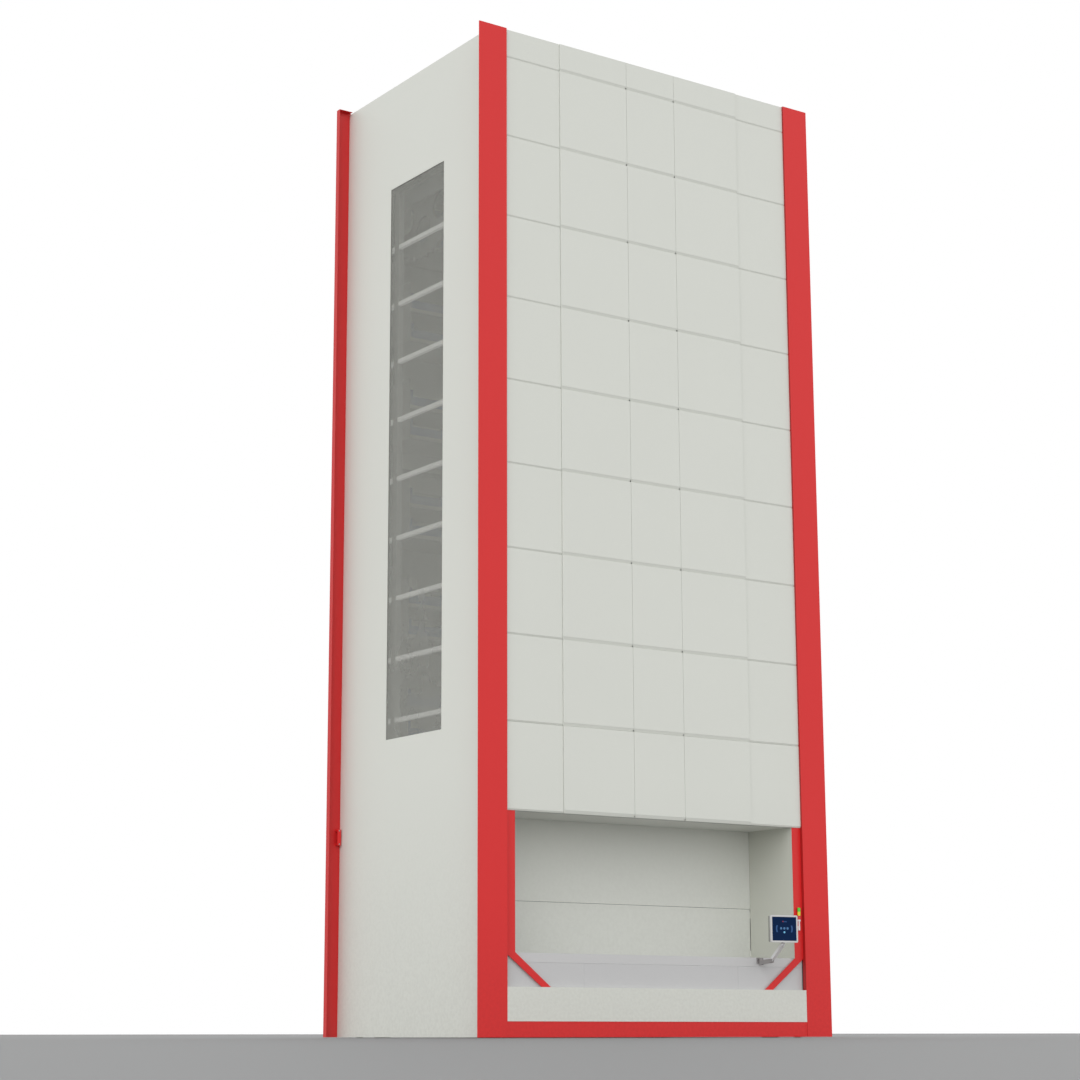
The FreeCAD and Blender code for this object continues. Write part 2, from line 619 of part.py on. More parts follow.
def apron_panels():
    """Three panels under the nose of the counter."""
    x = POST_IN - FIT
    edges = [-x, APRON_SEAM_LEFT, APRON_SEAM_RIGHT, x]
    top = BAY_LOW - COUNTER_THICK - APRON_SEAM
    pieces = []
    for left, right in zip(edges, edges[1:]):
        x0, x1 = left + APRON_SEAM / 2, right - APRON_SEAM / 2
        pieces.append(front_pan(x0, x1, SILL_HIGH + FIT, top, NOSE_FACE, APRON_DEEP))
    return pieces


def counter_top():
    x = BAY_HALF + LEAF + 8
    y0 = NOSE_FACE
    y1 = BACK_FACE - LINER_GAP - 2
    slab = box(-x, x, y0, y1, BAY_LOW - COUNTER_THICK, BAY_LOW)
    hollow = box(-x + SHEET, x - SHEET, y0 + SHEET, y1 - SHEET, BAY_LOW - COUNTER_THICK - 1, BAY_LOW - SHEET)
    nose = box(-POST_IN + FIT, POST_IN - FIT, y0, y0 + SHEET, BAY_LOW - COUNTER_THICK, BAY_LOW)
    return slab.cut(hollow).fuse(nose).removeSplitter()


def counter_supports():
    """Four gusset plates on the base, under the counter, and a rail that ties them."""
    pieces = []
    y0 = NOSE_FACE + APRON_DEEP + FIT
    y1 = BACK_FACE - 30
    top = BAY_LOW - SHEET
    for x in GUSSETS:
        outline = [(y0, BASE_HIGH), (RAIL_FACE + BASE_RAIL, BASE_HIGH), (y1, top - 90), (y1, top), (y0, top)]
        pieces.append(prism_x(outline, x - GUSSET / 2, x + GUSSET / 2))
    return pieces


def bay_frame():
    """Right-hand red frame of the bay, with its diagonal down to the counter panel."""
    y0 = FRONT + BAY_FRAME_SETBACK
    knee = BAY_LOW + 2
    low = COUNTER_PANEL_HIGH + 1
    x, top = POST_IN - FIT, ROW_START - FIT
    outline = [(x, top), (BAY_HALF, top), (BAY_HALF, knee), (BRACE_IN, low),
               (BRACE_OUT, low), (x, BRACE_TOP)]
    return prism_y(outline, y0, y0 + BAY_FRAME_PLATE)


def bay_liners():
    """Two side walls and the soffit of the bay, each with a lip that nearly meets the leaves."""
    y0 = FRONT + BAY_FRAME_SETBACK + BAY_FRAME_PLATE + FIT
    y1 = BACK_FACE - LINER_GAP
    lip = BACK_FACE - LEAF_SLIT
    x1 = BAY_HALF + LEAF
    wall = box(BAY_HALF, x1, y0, y1, BAY_LOW, ROW_START)
    hollow = box(BAY_HALF + SHEET, x1 + 1, y0 + SHEET, y1 - SHEET, BAY_LOW + SHEET, ROW_START - SHEET)
    edge = box(BAY_HALF, BAY_HALF + SHEET, y1 - SHEET, lip, BAY_LOW, ROW_START)
    wall = wall.cut(hollow).fuse(edge).removeSplitter()
    soffit = box(-x1, x1, UPRIGHT_FRONT + FIT, y1, ROW_START, ROW_START + LEAF)
    lid = box(-x1 + SHEET, x1 - SHEET, UPRIGHT_FRONT + FIT + SHEET, y1 - SHEET, ROW_START + SHEET,
              ROW_START + LEAF + 1)
    edge = box(-BAY_HALF, BAY_HALF, y1 - SHEET, lip, ROW_START, ROW_START + SHEET)
    return both_sides([wall]) + [soffit.cut(lid).fuse(edge).removeSplitter()]


def shutter_leaf(half_width, z0, z1):
    """Sheet leaf of the bay shutter, with a guide shoe at each corner."""
    skin = front_pan(-half_width, half_width, z0, z1, BACK_FACE, LEAF)
    shoes = []
    for z in (z0 + 60, z1 - 60):
        shoes += both_sides([box(half_width - SHEET, SHOE_END, BACK_FACE - SHOE_SIDE + FIT,
                                 BACK_FACE + LEAF + SHOE_SIDE - FIT, z - 30, z + 30)])
    return skin.fuse(shoes).removeSplitter()


def shutter_rails():
    x0, x1 = BAY_HALF + 10, SHOE_END + 10
    y0, y1 = BACK_FACE - 8, BACK_FACE + LEAF + 8
    slot_front, slot_rear = BACK_FACE - SHOE_SIDE, BACK_FACE + LEAF + SHOE_SIDE
    rail = box(x0, x1, y0, y1, RAIL_LOW, RAIL_HIGH)
    slot = box(x0 - 1, x1 - 4, slot_front, slot_rear, RAIL_LOW - 1, RAIL_HIGH + 1)
    pieces = [rail.cut(slot)]
    for z in (RAIL_LOW + 40, LOW_SHAFT_Z - RAIL_STAY_DROP, ROW_START + RAIL_DEEP, RAIL_HIGH - 40):
        pieces.append(box(x1, FRAME_IN, y0, -INNER_UPRIGHT - UPRIGHT + 40, z - 20, z + 20))
    return both_sides(pieces)


# ---------------------------------------------------------------- carousel
def carrier_solids(y, z):
    """Carrier frame with its pin at (y, z): two trays, a back, end plates and levelling arms."""
    half = CARRIER_DEPTH / 2
    inner = CARRIER_HALF - END_PLATE
    low, high = z - CARRIER_BELOW, z + CARRIER_ABOVE
    pieces = []
    for z0 in (low, low + SHELF_RISE):
        tray = box(-inner, inner, y - half, y + half - SHEET, z0, z0 + TRAY_LIP)
        hollow = box(-inner + SHEET, inner - SHEET, y - half + SHEET, y + half - SHEET * 2,
                     z0 + SHEET, z0 + TRAY_LIP + 1)
        pieces.append(tray.cut(hollow))
    pieces.append(box(-inner, inner, y + half - SHEET, y + half, low, high))
    plate = box(inner, CARRIER_HALF, y - half, y + half, low, high)
    bore = rod(PIN_R + BORE_CLEAR, V(inner - 5, y, z), X_AXIS, 80)
    pieces += both_sides([plate.cut(bore)])
    start = CARRIER_HALF
    hub = rod(PIN_R * 2, V(start, y, z), X_AXIS, 6 + ARM_THICK)
    bar = box(start + 6, start + 6 + ARM_THICK, y, y + ARM_REACH, z - ROLLER_R, z + ROLLER_R)
    roller = rod(ROLLER_R, V(start + 6, y + ARM_REACH, z), X_AXIS, 6 + ARM_THICK + 14)
    arm = hub.fuse([bar, roller]).removeSplitter().cut(bore)
    pieces += both_sides([arm])
    return pieces


def pin_solids(y, z):
    """Pins that join one carrier to the two chains."""
    inner = CARRIER_HALF - END_PLATE - 4
    shank = rod(PIN_R, V(inner, y, z), X_AXIS, CHAIN_IN - inner)
    lug = box(CHAIN_IN - 10, CHAIN_IN, y - 20, y + 20, z - 50, z + 50)
    return both_sides([shank.fuse(lug).removeSplitter()])


def bin_solid(x, y, z):
    """Open bin with a lowered front, its floor at z and its middle at (x, y)."""
    pitch = (CARRIER_HALF - END_PLATE - SHEET) * 2 / BIN_COUNT
    hw = (pitch - BIN_GAP) / 2
    hd = BIN_DEPTH / 2
    body = box(x - hw, x + hw, y - hd, y + hd, z, z + BIN_HIGH)
    body = body.cut(box(x - hw + BIN_WALL, x + hw - BIN_WALL, y - hd + BIN_WALL, y + hd - BIN_WALL,
                        z + BIN_WALL, z + BIN_HIGH + 1))
    mouth = box(x - hw + 40, x + hw - 40, y - hd - 1, y - hd + BIN_WALL + 1, z + BIN_HIGH - BIN_MOUTH,
                z + BIN_HIGH + 1)
    return body.cut(mouth)


def bin_solids(y, z):
    pitch = (CARRIER_HALF - END_PLATE - SHEET) * 2 / BIN_COUNT
    pieces = []
    for level in (0, 1):
        floor = z - CARRIER_BELOW + level * SHELF_RISE + SHEET
        for k in range(BIN_COUNT):
            pieces.append(bin_solid((k - (BIN_COUNT - 1) / 2) * pitch, y - 5, floor))
    return pieces


def shaft(z):
    length = (BEARING_IN + 36) * 2
    return rod(SHAFT_R, V(-length / 2, LOOP_Y, z), X_AXIS, length)


def toothed_disc(x0, thick, y, z, pitch_r, teeth, root_depth, tip_height):
    """Disc with straight-flanked teeth, a tooth gap on the +Y side."""
    points = []
    step = math.pi / teeth
    for k in range(teeth):
        middle = (2 * k + 1) * step
        for offset, r in ((-0.62, pitch_r - root_depth), (-0.2, pitch_r + tip_height),
                          (0.2, pitch_r + tip_height), (0.62, pitch_r - root_depth)):
            a = middle + offset * step
            points.append((y + r * math.cos(a), z + r * math.sin(a)))
    return prism_x(points, x0, x0 + thick)


def sprocket(z):
    """Right-hand sprocket: toothed rim, round windows and a hub."""
    x0 = CHAIN_PLANE - SPROCKET_THICK / 2
    disc = toothed_disc(x0, SPROCKET_THICK, LOOP_Y, z, LOOP_R, SPROCKET_TEETH, TOOTH_ROOT, TOOTH_TIP)
    for k in range(WHEEL_HOLES):
        a = (2 * k + 1) * math.pi / WHEEL_HOLES
        centre = V(x0 - 1, LOOP_Y + WHEEL_HOLE_AT * math.cos(a), z + WHEEL_HOLE_AT * math.sin(a))
        disc = disc.cut(rod(WHEEL_HOLE_R, centre, X_AXIS, SPROCKET_THICK + 2))
    hub = rod(HUB_R, V(x0 - 10, LOOP_Y, z), X_AXIS, SPROCKET_THICK + 20)
    bore = rod(SHAFT_R, V(x0 - 20, LOOP_Y, z), X_AXIS, SPROCKET_THICK + 40)
    return disc.fuse(hub).cut(bore)


def loop_plate(x0, grow):
    """Solid loop outline of the carousel chain, grown from its pitch line."""
    r = LOOP_R + grow
    body = box(x0, x0 + CHAIN_PLATE, LOOP_Y - r, LOOP_Y + r, LOW_SHAFT_Z, TOP_SHAFT_Z)
    for z in (LOW_SHAFT_Z, TOP_SHAFT_Z):
        body = body.fuse(rod(r, V(x0, LOOP_Y, z), X_AXIS, CHAIN_PLATE))
    return body


def carousel_chains():
    pieces = []
    for x0 in (CHAIN_IN, CHAIN_PLANE + SPROCKET_THICK / 2 + FIT):
        pieces.append(loop_plate(x0, CHAIN_HALF).cut(loop_plate(x0, -CHAIN_HALF)).removeSplitter())
    return both_sides(pieces)


def guide_channels():
    """Upright channels for the levelling rollers of both runs, on stand-offs from the rungs."""
    x0 = CARRIER_HALF + 6 + ARM_THICK + 2
    x1 = CHAIN_IN - 10 - 2
    wheel = math.sqrt((LOOP_R + TOOTH_TIP) ** 2 - (LOOP_R - ARM_REACH) ** 2)
    heights = [k * RUNG_PITCH for k in range(1, RUNG_COUNT, 2)]
    low, high = LOW_SHAFT_Z + wheel + RUNG / 2, TOP_SHAFT_Z - wheel - RUNG / 2
    pieces = []
    for run in (FRONT_RUN_Y, REAR_RUN_Y):
        y = run + ARM_REACH
        half = ROLLER_R + ROLLER_CLEAR
        body = box(x0, x1, y - half - 4, y + half + 4, LOW_SHAFT_Z + CHANNEL_END, TOP_SHAFT_Z - CHANNEL_END)
        slot = box(x0 - 1, x1 - 4, y - half, y + half, LOW_SHAFT_Z, TOP_SHAFT_Z)
        channel = body.cut(slot)
        pieces.append(channel)
        for z in heights:
            if low <= z <= high:
                pieces.append(box(x1, FRAME_OUT - RUNG, y - 15, y + 15, z - 15, z + 15))
    return both_sides(pieces)


def shaft_bearings():
    """Bearing plates between the inner uprights, each with its square housing."""
    pieces = []
    for z in (LOW_SHAFT_Z, TOP_SHAFT_Z):
        x1 = FRAME_IN
        half = INNER_UPRIGHT + UPRIGHT
        plate = box(x1 - BEARING_PLATE, x1, -half, half, z - 100, z + 100)
        y0, y1 = LOOP_Y - BEARING_HALF, LOOP_Y + BEARING_HALF
        housing = box(BEARING_IN, x1 - BEARING_PLATE, y0, y1, z - BEARING_HALF, z + BEARING_HALF)
        bore = rod(SHAFT_R + BORE_CLEAR, V(BEARING_IN - 1, LOOP_Y, z), X_AXIS, BEARING_LONG + 1)
        pieces += [plate, housing.cut(bore)]
    return both_sides(pieces)


# ---------------------------------------------------------------- drive
def drive_wheel(radius, teeth, y, z, bore_r, hub_r):
    x0 = DRIVE_PLANE
    wheel = toothed_disc(x0, DRIVE_THICK, y, z, radius, teeth, 8.0, 5.0)
    hub = rod(hub_r, V(x0 - 8, y, z), X_AXIS, DRIVE_THICK + 12)
    return wheel.fuse(hub).cut(rod(bore_r, V(x0 - 10, y, z), X_AXIS, DRIVE_THICK + 20))


def belt_outline(grow, x0, x1):
    """Hull of the two drive wheels, grown by the half height of the drive chain."""
    big, small = DRIVE_BIG_R + grow, DRIVE_SMALL_R + grow
    dy, dz = MOTOR_Y - LOOP_Y, MOTOR_Z - LOW_SHAFT_Z
    reach = math.hypot(dy, dz)
    heading = math.atan2(dz, dy)
    lean = math.acos((big - small) / reach)
    points = []
    for r, cy, cz, a in ((big, LOOP_Y, LOW_SHAFT_Z, lean), (small, MOTOR_Y, MOTOR_Z, lean),
                         (small, MOTOR_Y, MOTOR_Z, -lean), (big, LOOP_Y, LOW_SHAFT_Z, -lean)):
        points.append((cy + r * math.cos(heading + a), cz + r * math.sin(heading + a)))
    body = prism_x(points, x0, x1)
    return body.fuse([rod(big, V(x0, LOOP_Y, LOW_SHAFT_Z), X_AXIS, x1 - x0),
                      rod(small, V(x0, MOTOR_Y, MOTOR_Z), X_AXIS, x1 - x0)])


def drive_chain():
    """Side plates of the drive chain, one loop on each side of the wheels."""
    plates = []
    for x0 in (DRIVE_PLANE - FIT - DRIVE_CHAIN_PLATE, DRIVE_PLANE + DRIVE_THICK + FIT):
        x1 = x0 + DRIVE_CHAIN_PLATE
        inside = belt_outline(-DRIVE_CHAIN_HALF, x0 - 1, x1 + 1)
        plates.append(belt_outline(DRIVE_CHAIN_HALF, x0, x1).cut(inside))
    return plates


def gearmotor():
    """Gearbox, motor and foot plate on the rear rail of the base."""
    foot_top = BASE_HIGH + 10
    x0 = GEARBOX_IN - MOTOR_LONG
    gearbox = box(GEARBOX_IN, GEARBOX_OUT, MOTOR_Y - 80, MOTOR_Y + 80, foot_top, MOTOR_Z + 80)
    motor = rod(MOTOR_R, V(x0, MOTOR_Y, MOTOR_Z), X_AXIS, MOTOR_LONG)
    fan_cover = rod(MOTOR_R + 3, V(x0, MOTOR_Y, MOTOR_Z), X_AXIS, FAN_COVER)
    stub = rod(STUB_R, V(GEARBOX_OUT, MOTOR_Y, MOTOR_Z), X_AXIS, DRIVE_PLANE + DRIVE_THICK - GEARBOX_OUT)
    foot = box(x0 + FAN_COVER, GEARBOX_OUT, MOTOR_Y - 90, MOTOR_Y + 100, BASE_HIGH, foot_top)
    return [gearbox.fuse([motor, fan_cover]).removeSplitter(), stub, foot]


def control_cabinet():
    """Shell on the side frame and its cover."""
    x1, x0 = FRAME_IN, FRAME_IN - CABINET_DEEP
    y0, wall, inset = UPRIGHT_FRONT + UPRIGHT, CABINET_SHEET, 5
    shell = box(x0, x1, y0, CABINET_REAR, CABINET_LOW, CABINET_HIGH)
    shell = shell.cut(box(x0 + wall, x1 - wall, y0 + wall, CABINET_REAR - wall, CABINET_LOW + wall,
                          CABINET_HIGH - wall))
    cover = box(x0 - CABINET_COVER, x0, y0 + inset, CABINET_REAR - inset, CABINET_LOW + inset,
                CABINET_HIGH - inset)
    return [shell, cover]


def cable_gland():
    inside = REAR_FACE - FLANGE
    flange = rod(GLAND_FLANGE_R, V(GLAND_X, REAR_FACE, GLAND_Z), Y_AXIS, 8)
    neck = rod(GLAND_NECK_R, V(GLAND_X, inside, GLAND_Z), Y_AXIS, FLANGE + GLAND_OUT)
    bore = rod(GLAND_BORE_R, V(GLAND_X, inside - 1, GLAND_Z), Y_AXIS, FLANGE + GLAND_OUT + 2)
    return flange.fuse(neck).removeSplitter().cut(bore)


# ---------------------------------------------------------------- control panel
def hmi_bracket():
    """Clamp plate on the nose of the counter, with the upright pivot of the arm."""
    top = BAY_LOW - 1
    ear_low = HMI_BASE_Z + HUB_TOP
    plate = box(HMI_BASE_X - 30, HMI_BASE_X + 30, NOSE_FACE - 8, NOSE_FACE, top - 52, top)
    ear = box(HMI_BASE_X - 20, HMI_BASE_X + 20, BASE_Y, NOSE_FACE - 8, ear_low, ear_low + 8)
    ear = ear.fuse(rod(20.0, V(HMI_BASE_X, BASE_Y, ear_low), Z_AXIS, 8))
    pin_low = HMI_BASE_Z - HUB_DROP + 4
    pin = rod(BASE_PIN_R, V(HMI_BASE_X, BASE_Y, pin_low), Z_AXIS, ear_low - pin_low)
    return plate.fuse([ear, pin]).removeSplitter()


def arm_bar(y0, z0, y1, z1, half):
    """Bar in the plane x = HMI_BASE_X from (y0, z0) to (y1, z1), with round ends."""
    length = math.hypot(y1 - y0, z1 - z0)
    ny, nz = -(z1 - z0) / length * half, (y1 - y0) / length * half
    outline = [(y0 + ny, z0 + nz), (y1 + ny, z1 + nz), (y1 - ny, z1 - nz), (y0 - ny, z0 - nz)]
    x0 = HMI_BASE_X - ARM_HALF
    bar = prism_x(outline, x0, x0 + ARM_HALF * 2)
    ends = [rod(half, V(x0, y, z), X_AXIS, ARM_HALF * 2) for y, z in ((y0, z0), (y1, z1))]
    return bar.fuse(ends)


def tongue_room(y, z):
    """Slot for a tongue that turns about the pin at (y, z)."""
    wide = TONGUE + 2 * FIT
    return rod(TONGUE_R, V(HMI_BASE_X - wide / 2, y, z), X_AXIS, wide)


def arm_pin(y, z):
    return rod(ARM_PIN_R, V(HMI_BASE_X - ARM_HALF, y, z), X_AXIS, ARM_HALF * 2)


def pin_bore(y, z):
    return rod(ARM_PIN_R + BORE_CLEAR, V(HMI_BASE_X - ARM_HALF - 1, y, z), X_AXIS, ARM_HALF * 2 + 2)


def hmi_lower_arm():
    """Arm from the pivot to the elbow, with a hub round the bracket's pin."""
    low = HMI_BASE_Z - HUB_DROP
    hub = rod(20.0, V(HMI_BASE_X, BASE_Y, low), Z_AXIS, HUB_TOP + HUB_DROP - FIT)
    bar = arm_bar(BASE_Y - 12, HMI_BASE_Z - LOWER_BAR_DROP, ELBOW_Y, ELBOW_Z, LOWER_BAR)
    bore = rod(BASE_PIN_R + BORE_CLEAR, V(HMI_BASE_X, BASE_Y, low + 4 - FIT), Z_AXIS, HUB_TOP + HUB_DROP)
    arm = hub.fuse(bar).removeSplitter().cut(bore).cut(tongue_room(ELBOW_Y, ELBOW_Z))
    return arm.fuse(arm_pin(ELBOW_Y, ELBOW_Z)).removeSplitter()


def hmi_upper_arm():
    """Arm from the elbow to the head, a tongue at the elbow and a fork at the head."""
    bar = arm_bar(ELBOW_Y, ELBOW_Z, HEAD_Y, HEAD_Z, UPPER_BAR)
    around = rod(TONGUE_R, V(HMI_BASE_X - ARM_HALF - 1, ELBOW_Y, ELBOW_Z), X_AXIS, ARM_HALF * 2 + 2)
    keep = box(HMI_BASE_X - TONGUE / 2, HMI_BASE_X + TONGUE / 2, ELBOW_Y - 60, ELBOW_Y + 60,
               ELBOW_Z - 60, ELBOW_Z + 60)
    bar = bar.cut(around.cut(keep)).cut(pin_bore(ELBOW_Y, ELBOW_Z))
    return bar.cut(tongue_room(HEAD_Y, HEAD_Z)).fuse(arm_pin(HEAD_Y, HEAD_Z)).removeSplitter()


def turned(shape):
    """Turn a piece of the head about the upright line through its tilt pin."""
    return shape.rotate(V(HMI_BASE_X, HEAD_Y, HEAD_Z), Z_AXIS, -HMI_TURN)


def rounded_slab(x0, x1, y0, y1, z0, z1, r):
    slab = box(x0, x1, y0, y1, z0, z1)
    edges = [e for e in slab.Edges if abs(e.Vertexes[0].Point.y - e.Vertexes[1].Point.y) > 1]
    return slab.makeFillet(r, edges)


def hmi_housing():
    """Head of the control panel: bezel, back box and the tongue on the tilt pin."""
    x, y, z0, z1 = HMI_BASE_X, BEZEL_BACK, HEAD_LOW, HEAD_LOW + HMI_HIGH
    half = HMI_WIDTH / 2
    rim = HMI_FRAME
    bezel = rounded_slab(x - half, x + half, y - HMI_BEZEL, y, z0, z1, 14.0)
    recess = box(x - half + rim, x + half - rim, y - HMI_BEZEL - 1, y - HMI_BEZEL + 4, z0 + rim, z1 - rim)
    back = box(x - half + 6, x + half - 6, y, y + HMI_BACK, z0 + 6, z1 - 6)
    head = turned(bezel.cut(recess).fuse(back).removeSplitter())
    tongue = box(x - TONGUE / 2, x + TONGUE / 2, HEAD_Y - 11, HEAD_Y + 11, HEAD_Z, z0 + 12)
    tongue = tongue.fuse(rod(11.0, V(x - TONGUE / 2, HEAD_Y, HEAD_Z), X_AXIS, TONGUE))
    return head.fuse(tongue.cut(pin_bore(HEAD_Y, HEAD_Z))).removeSplitter()


def hmi_screen():
    half = HMI_WIDTH / 2 - HMI_FRAME - SCREEN_GAP
    face = BEZEL_BACK - HMI_BEZEL
    rim = HMI_FRAME + SCREEN_GAP
    return turned(box(HMI_BASE_X - half, HMI_BASE_X + half, face + 1, face + 4 - SCREEN_GAP,
                      HEAD_LOW + rim, HEAD_LOW + HMI_HIGH - rim))


def light_pole():
    """Pole of the signal light, on a foot that is screwed to the bay frame."""
    collar_low = LAMP_LOW_Z - LAMP_COLLAR
    pole = rod(POLE_R, V(LAMP_X, LAMP_Y, POLE_LOW_Z), Z_AXIS, collar_low - POLE_LOW_Z)
    collar = rod(LAMP_R, V(LAMP_X, LAMP_Y, collar_low), Z_AXIS, LAMP_COLLAR)
    foot = box(LAMP_X - POLE_R, LAMP_X + POLE_R, LAMP_Y, FRONT + BAY_FRAME_SETBACK,
               POLE_LOW_Z, POLE_LOW_Z + 40)
    return pole.fuse([collar, foot]).removeSplitter()


def signal_lamps():
    pieces = []
    for k in range(3):
        pieces.append(rod(LAMP_R, V(LAMP_X, LAMP_Y, LAMP_LOW_Z + k * LAMP_HIGH), Z_AXIS, LAMP_HIGH))
    return pieces


# ---------------------------------------------------------------- rear door
def service_door():
    """Rear door with its outer hinge knuckles."""
    face, top = REAR_FACE, REAR_FACE + HINGE_LEAF
    door = rear_pan(DOOR_LEFT, DOOR_RIGHT, DOOR_LOW, DOOR_HIGH, face, FLANGE)
    knuckles = []
    for z in HINGE_HEIGHTS:
        leaf = box(HINGE_X, DOOR_LEFT + 50, face, top, z, z + KNUCKLE)
        barrel = rod(KNUCKLE_R, V(HINGE_X, HINGE_Y, z + FIT), Z_AXIS, KNUCKLE - 2 * FIT)
        strap = box(HINGE_X, HINGE_X + KNUCKLE_R, top, HINGE_Y, z + FIT, z + KNUCKLE - FIT)
        bore = rod(HINGE_PIN_R + BORE_CLEAR, V(HINGE_X, HINGE_Y, z - 5), Z_AXIS, KNUCKLE + 10)
        knuckles.append(leaf.fuse([barrel, strap]).cut(bore))
    hole = rod(SPINDLE_R + BORE_CLEAR, V(HANDLE_X, face - FLANGE - 5, HANDLE_Z), Y_AXIS, FLANGE + 10)
    return door.fuse(knuckles).removeSplitter().cut(hole)


def door_hinges():
    """Fixed hinge knuckles with their pins, on the panel beside the door."""
    face, top = REAR_FACE, REAR_FACE + HINGE_LEAF
    pieces = []
    for z in HINGE_HEIGHTS:
        leaf = box(DOOR_LEFT - 54, HINGE_X - 1, face, top, z - KNUCKLE, z)
        barrel = rod(KNUCKLE_R, V(HINGE_X, HINGE_Y, z - KNUCKLE), Z_AXIS, KNUCKLE)
        strap = box(HINGE_X - KNUCKLE_R, HINGE_X - 1, top, HINGE_Y, z - KNUCKLE, z)
        pin = rod(HINGE_PIN_R, V(HINGE_X, HINGE_Y, z - 1), Z_AXIS, KNUCKLE)
        pieces.append(leaf.fuse([barrel, strap, pin]).removeSplitter())
    return pieces


def door_handle():
    """Lever handle with its spindle through the door."""
    face = REAR_FACE
    spindle = rod(SPINDLE_R, V(HANDLE_X, face - 10, HANDLE_Z), Y_AXIS, 40)
    hub = rod(SPINDLE_R * 2, V(HANDLE_X, face + FIT, HANDLE_Z), Y_AXIS, 12)
    lever = box(HANDLE_X - 11, HANDLE_X + 11, face + 24, face + 34, HANDLE_Z - 130, HANDLE_Z + 12)
    return spindle.fuse([hub, lever]).removeSplitter()


# ---------------------------------------------------------------- all pieces
def run_heights():
    """Heights of the carriers on the front run, from the lowest, at rest."""
    return [LOW_SHAFT_Z + k * PITCH for k in range(PITCHES_UP)]


def gather(makers, places):
    solids = []
    for y, z in places:
        for make in makers:
            solids += make(y, z)
    return solids


def main():
    os.makedirs("parts", exist_ok=True)
    frame = side_frame()
    save("base_frame", base_frame())
    save("levelling_feet", levelling_feet())
    save("side_frames", both_sides(frame))
    save("cross_beams", cross_beams())
    save("panel_rails", panel_rails())
    save("cladding_brackets", cladding_brackets())
    save("front_posts", both_sides([front_post()]))
    save("rear_posts", both_sides([rear_post()]))
    save("rear_post_handle", [rear_post_handle()])
    save("side_panel_left", [mirrored(side_panel(True))])
    save("side_panel_right", [side_panel(False)])
    save("window_pane", [mirrored(window_pane())])
    save("window_gasket", [mirrored(window_gasket())])
    save("front_side_panels", side_column_panels())
    save("front_wing_panels", wing_panels())
    save("front_centre_panels", centre_panels())
    save("rear_panels", rear_panels())
    save("roof_panels", roof_panels())
    save("sills", sills())
    save("counter_front", [counter_front()])
    save("apron_panels", apron_panels())
    save("counter_top", [counter_top()])
    save("counter_supports", counter_supports())
    save("bay_frames", both_sides([bay_frame()]))
    save("bay_liners", bay_liners())
    save("shutter_rails", shutter_rails())
    save("shutter_lower_leaf",
         [shutter_leaf(BAY_HALF - LOWER_END_GAP, BAY_LOW + 2, LEAF_SPLIT - LEAF_GAP / 2)])
    upper_low, upper_high = LEAF_SPLIT + LEAF_GAP / 2, ROW_START + LEAF - 6
    save("shutter_upper_leaf", [shutter_leaf(BAY_HALF + UPPER_LAP, upper_low, upper_high)])
    save("guide_channels", guide_channels())
    save("shaft_bearings", shaft_bearings())
    save("gearmotor", gearmotor())
    save("control_cabinet", control_cabinet())
    save("cable_gland", [cable_gland()])
    save("hmi_bracket", [hmi_bracket()])
    save("hmi_lower_arm", [hmi_lower_arm()])
    save("hmi_upper_arm", [hmi_upper_arm()])
    save("hmi_housing", [hmi_housing()])
    save("hmi_screen", [hmi_screen()])
    save("light_pole", [light_pole()])
    save("signal_lamps", signal_lamps())
    save("service_door", [service_door()])
    save("door_hinges", door_hinges())
    save("door_handle", [door_handle()])
    save("carousel_chains", carousel_chains())
    save("drive_chain", drive_chain())
    bore = STUB_R + BORE_CLEAR
    save("drive_pinion", [drive_wheel(DRIVE_SMALL_R, PINION_TEETH, MOTOR_Y, MOTOR_Z, bore, PINION_HUB_R)])

    low, high = LOW_SHAFT_Z, TOP_SHAFT_Z
    front = [(FRONT_RUN_Y, z) for z in run_heights()]
    rear = [(REAR_RUN_Y, z + PITCH) for z in run_heights()]
    top = {"top_front_carrier": (FRONT_RUN_Y, high), "top_crest_carrier": (LOOP_Y, high + LOOP_R)}
    bottom = {"bottom_rear_carrier": (REAR_RUN_Y, low), "bottom_sump_carrier": (LOOP_Y, low - LOOP_R)}
    save("top_shaft", [shaft(high)])
    wheel = drive_wheel(DRIVE_BIG_R, DRIVE_TEETH, LOOP_Y, low, SHAFT_R, SHAFT_R + 25)
    save("bottom_shaft", [shaft(low), wheel])
    save("top_sprockets", both_sides([sprocket(high)]) + gather([pin_solids], top.values()))
    save("bottom_sprockets", both_sides([sprocket(low)]) + gather([pin_solids], bottom.values()))
    save("front_carriers", gather([carrier_solids, pin_solids], front))
    save("presented_bins", gather([bin_solids], front[:1]))
    save("front_bins", gather([bin_solids], front[1:]))
    save("rear_carriers", gather([carrier_solids, pin_solids], rear))
    save("rear_bins", gather([bin_solids], rear))
    for name, place in list(top.items()) + list(bottom.items()):
        save(name, gather([carrier_solids, bin_solids], [place]))


main()
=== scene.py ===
# %% [markdown]
# # A tall vertical carousel store
# This lesson dresses a fixed CAD frame: a steel tower with level carriers on two
# chain loops, a work bay with a shutter, and a small control panel. The frame is
# loaded first, because every new piece takes its place and size from it.

# %% Load the frame
import bpy
import json
import math
from mathutils import Matrix, Vector


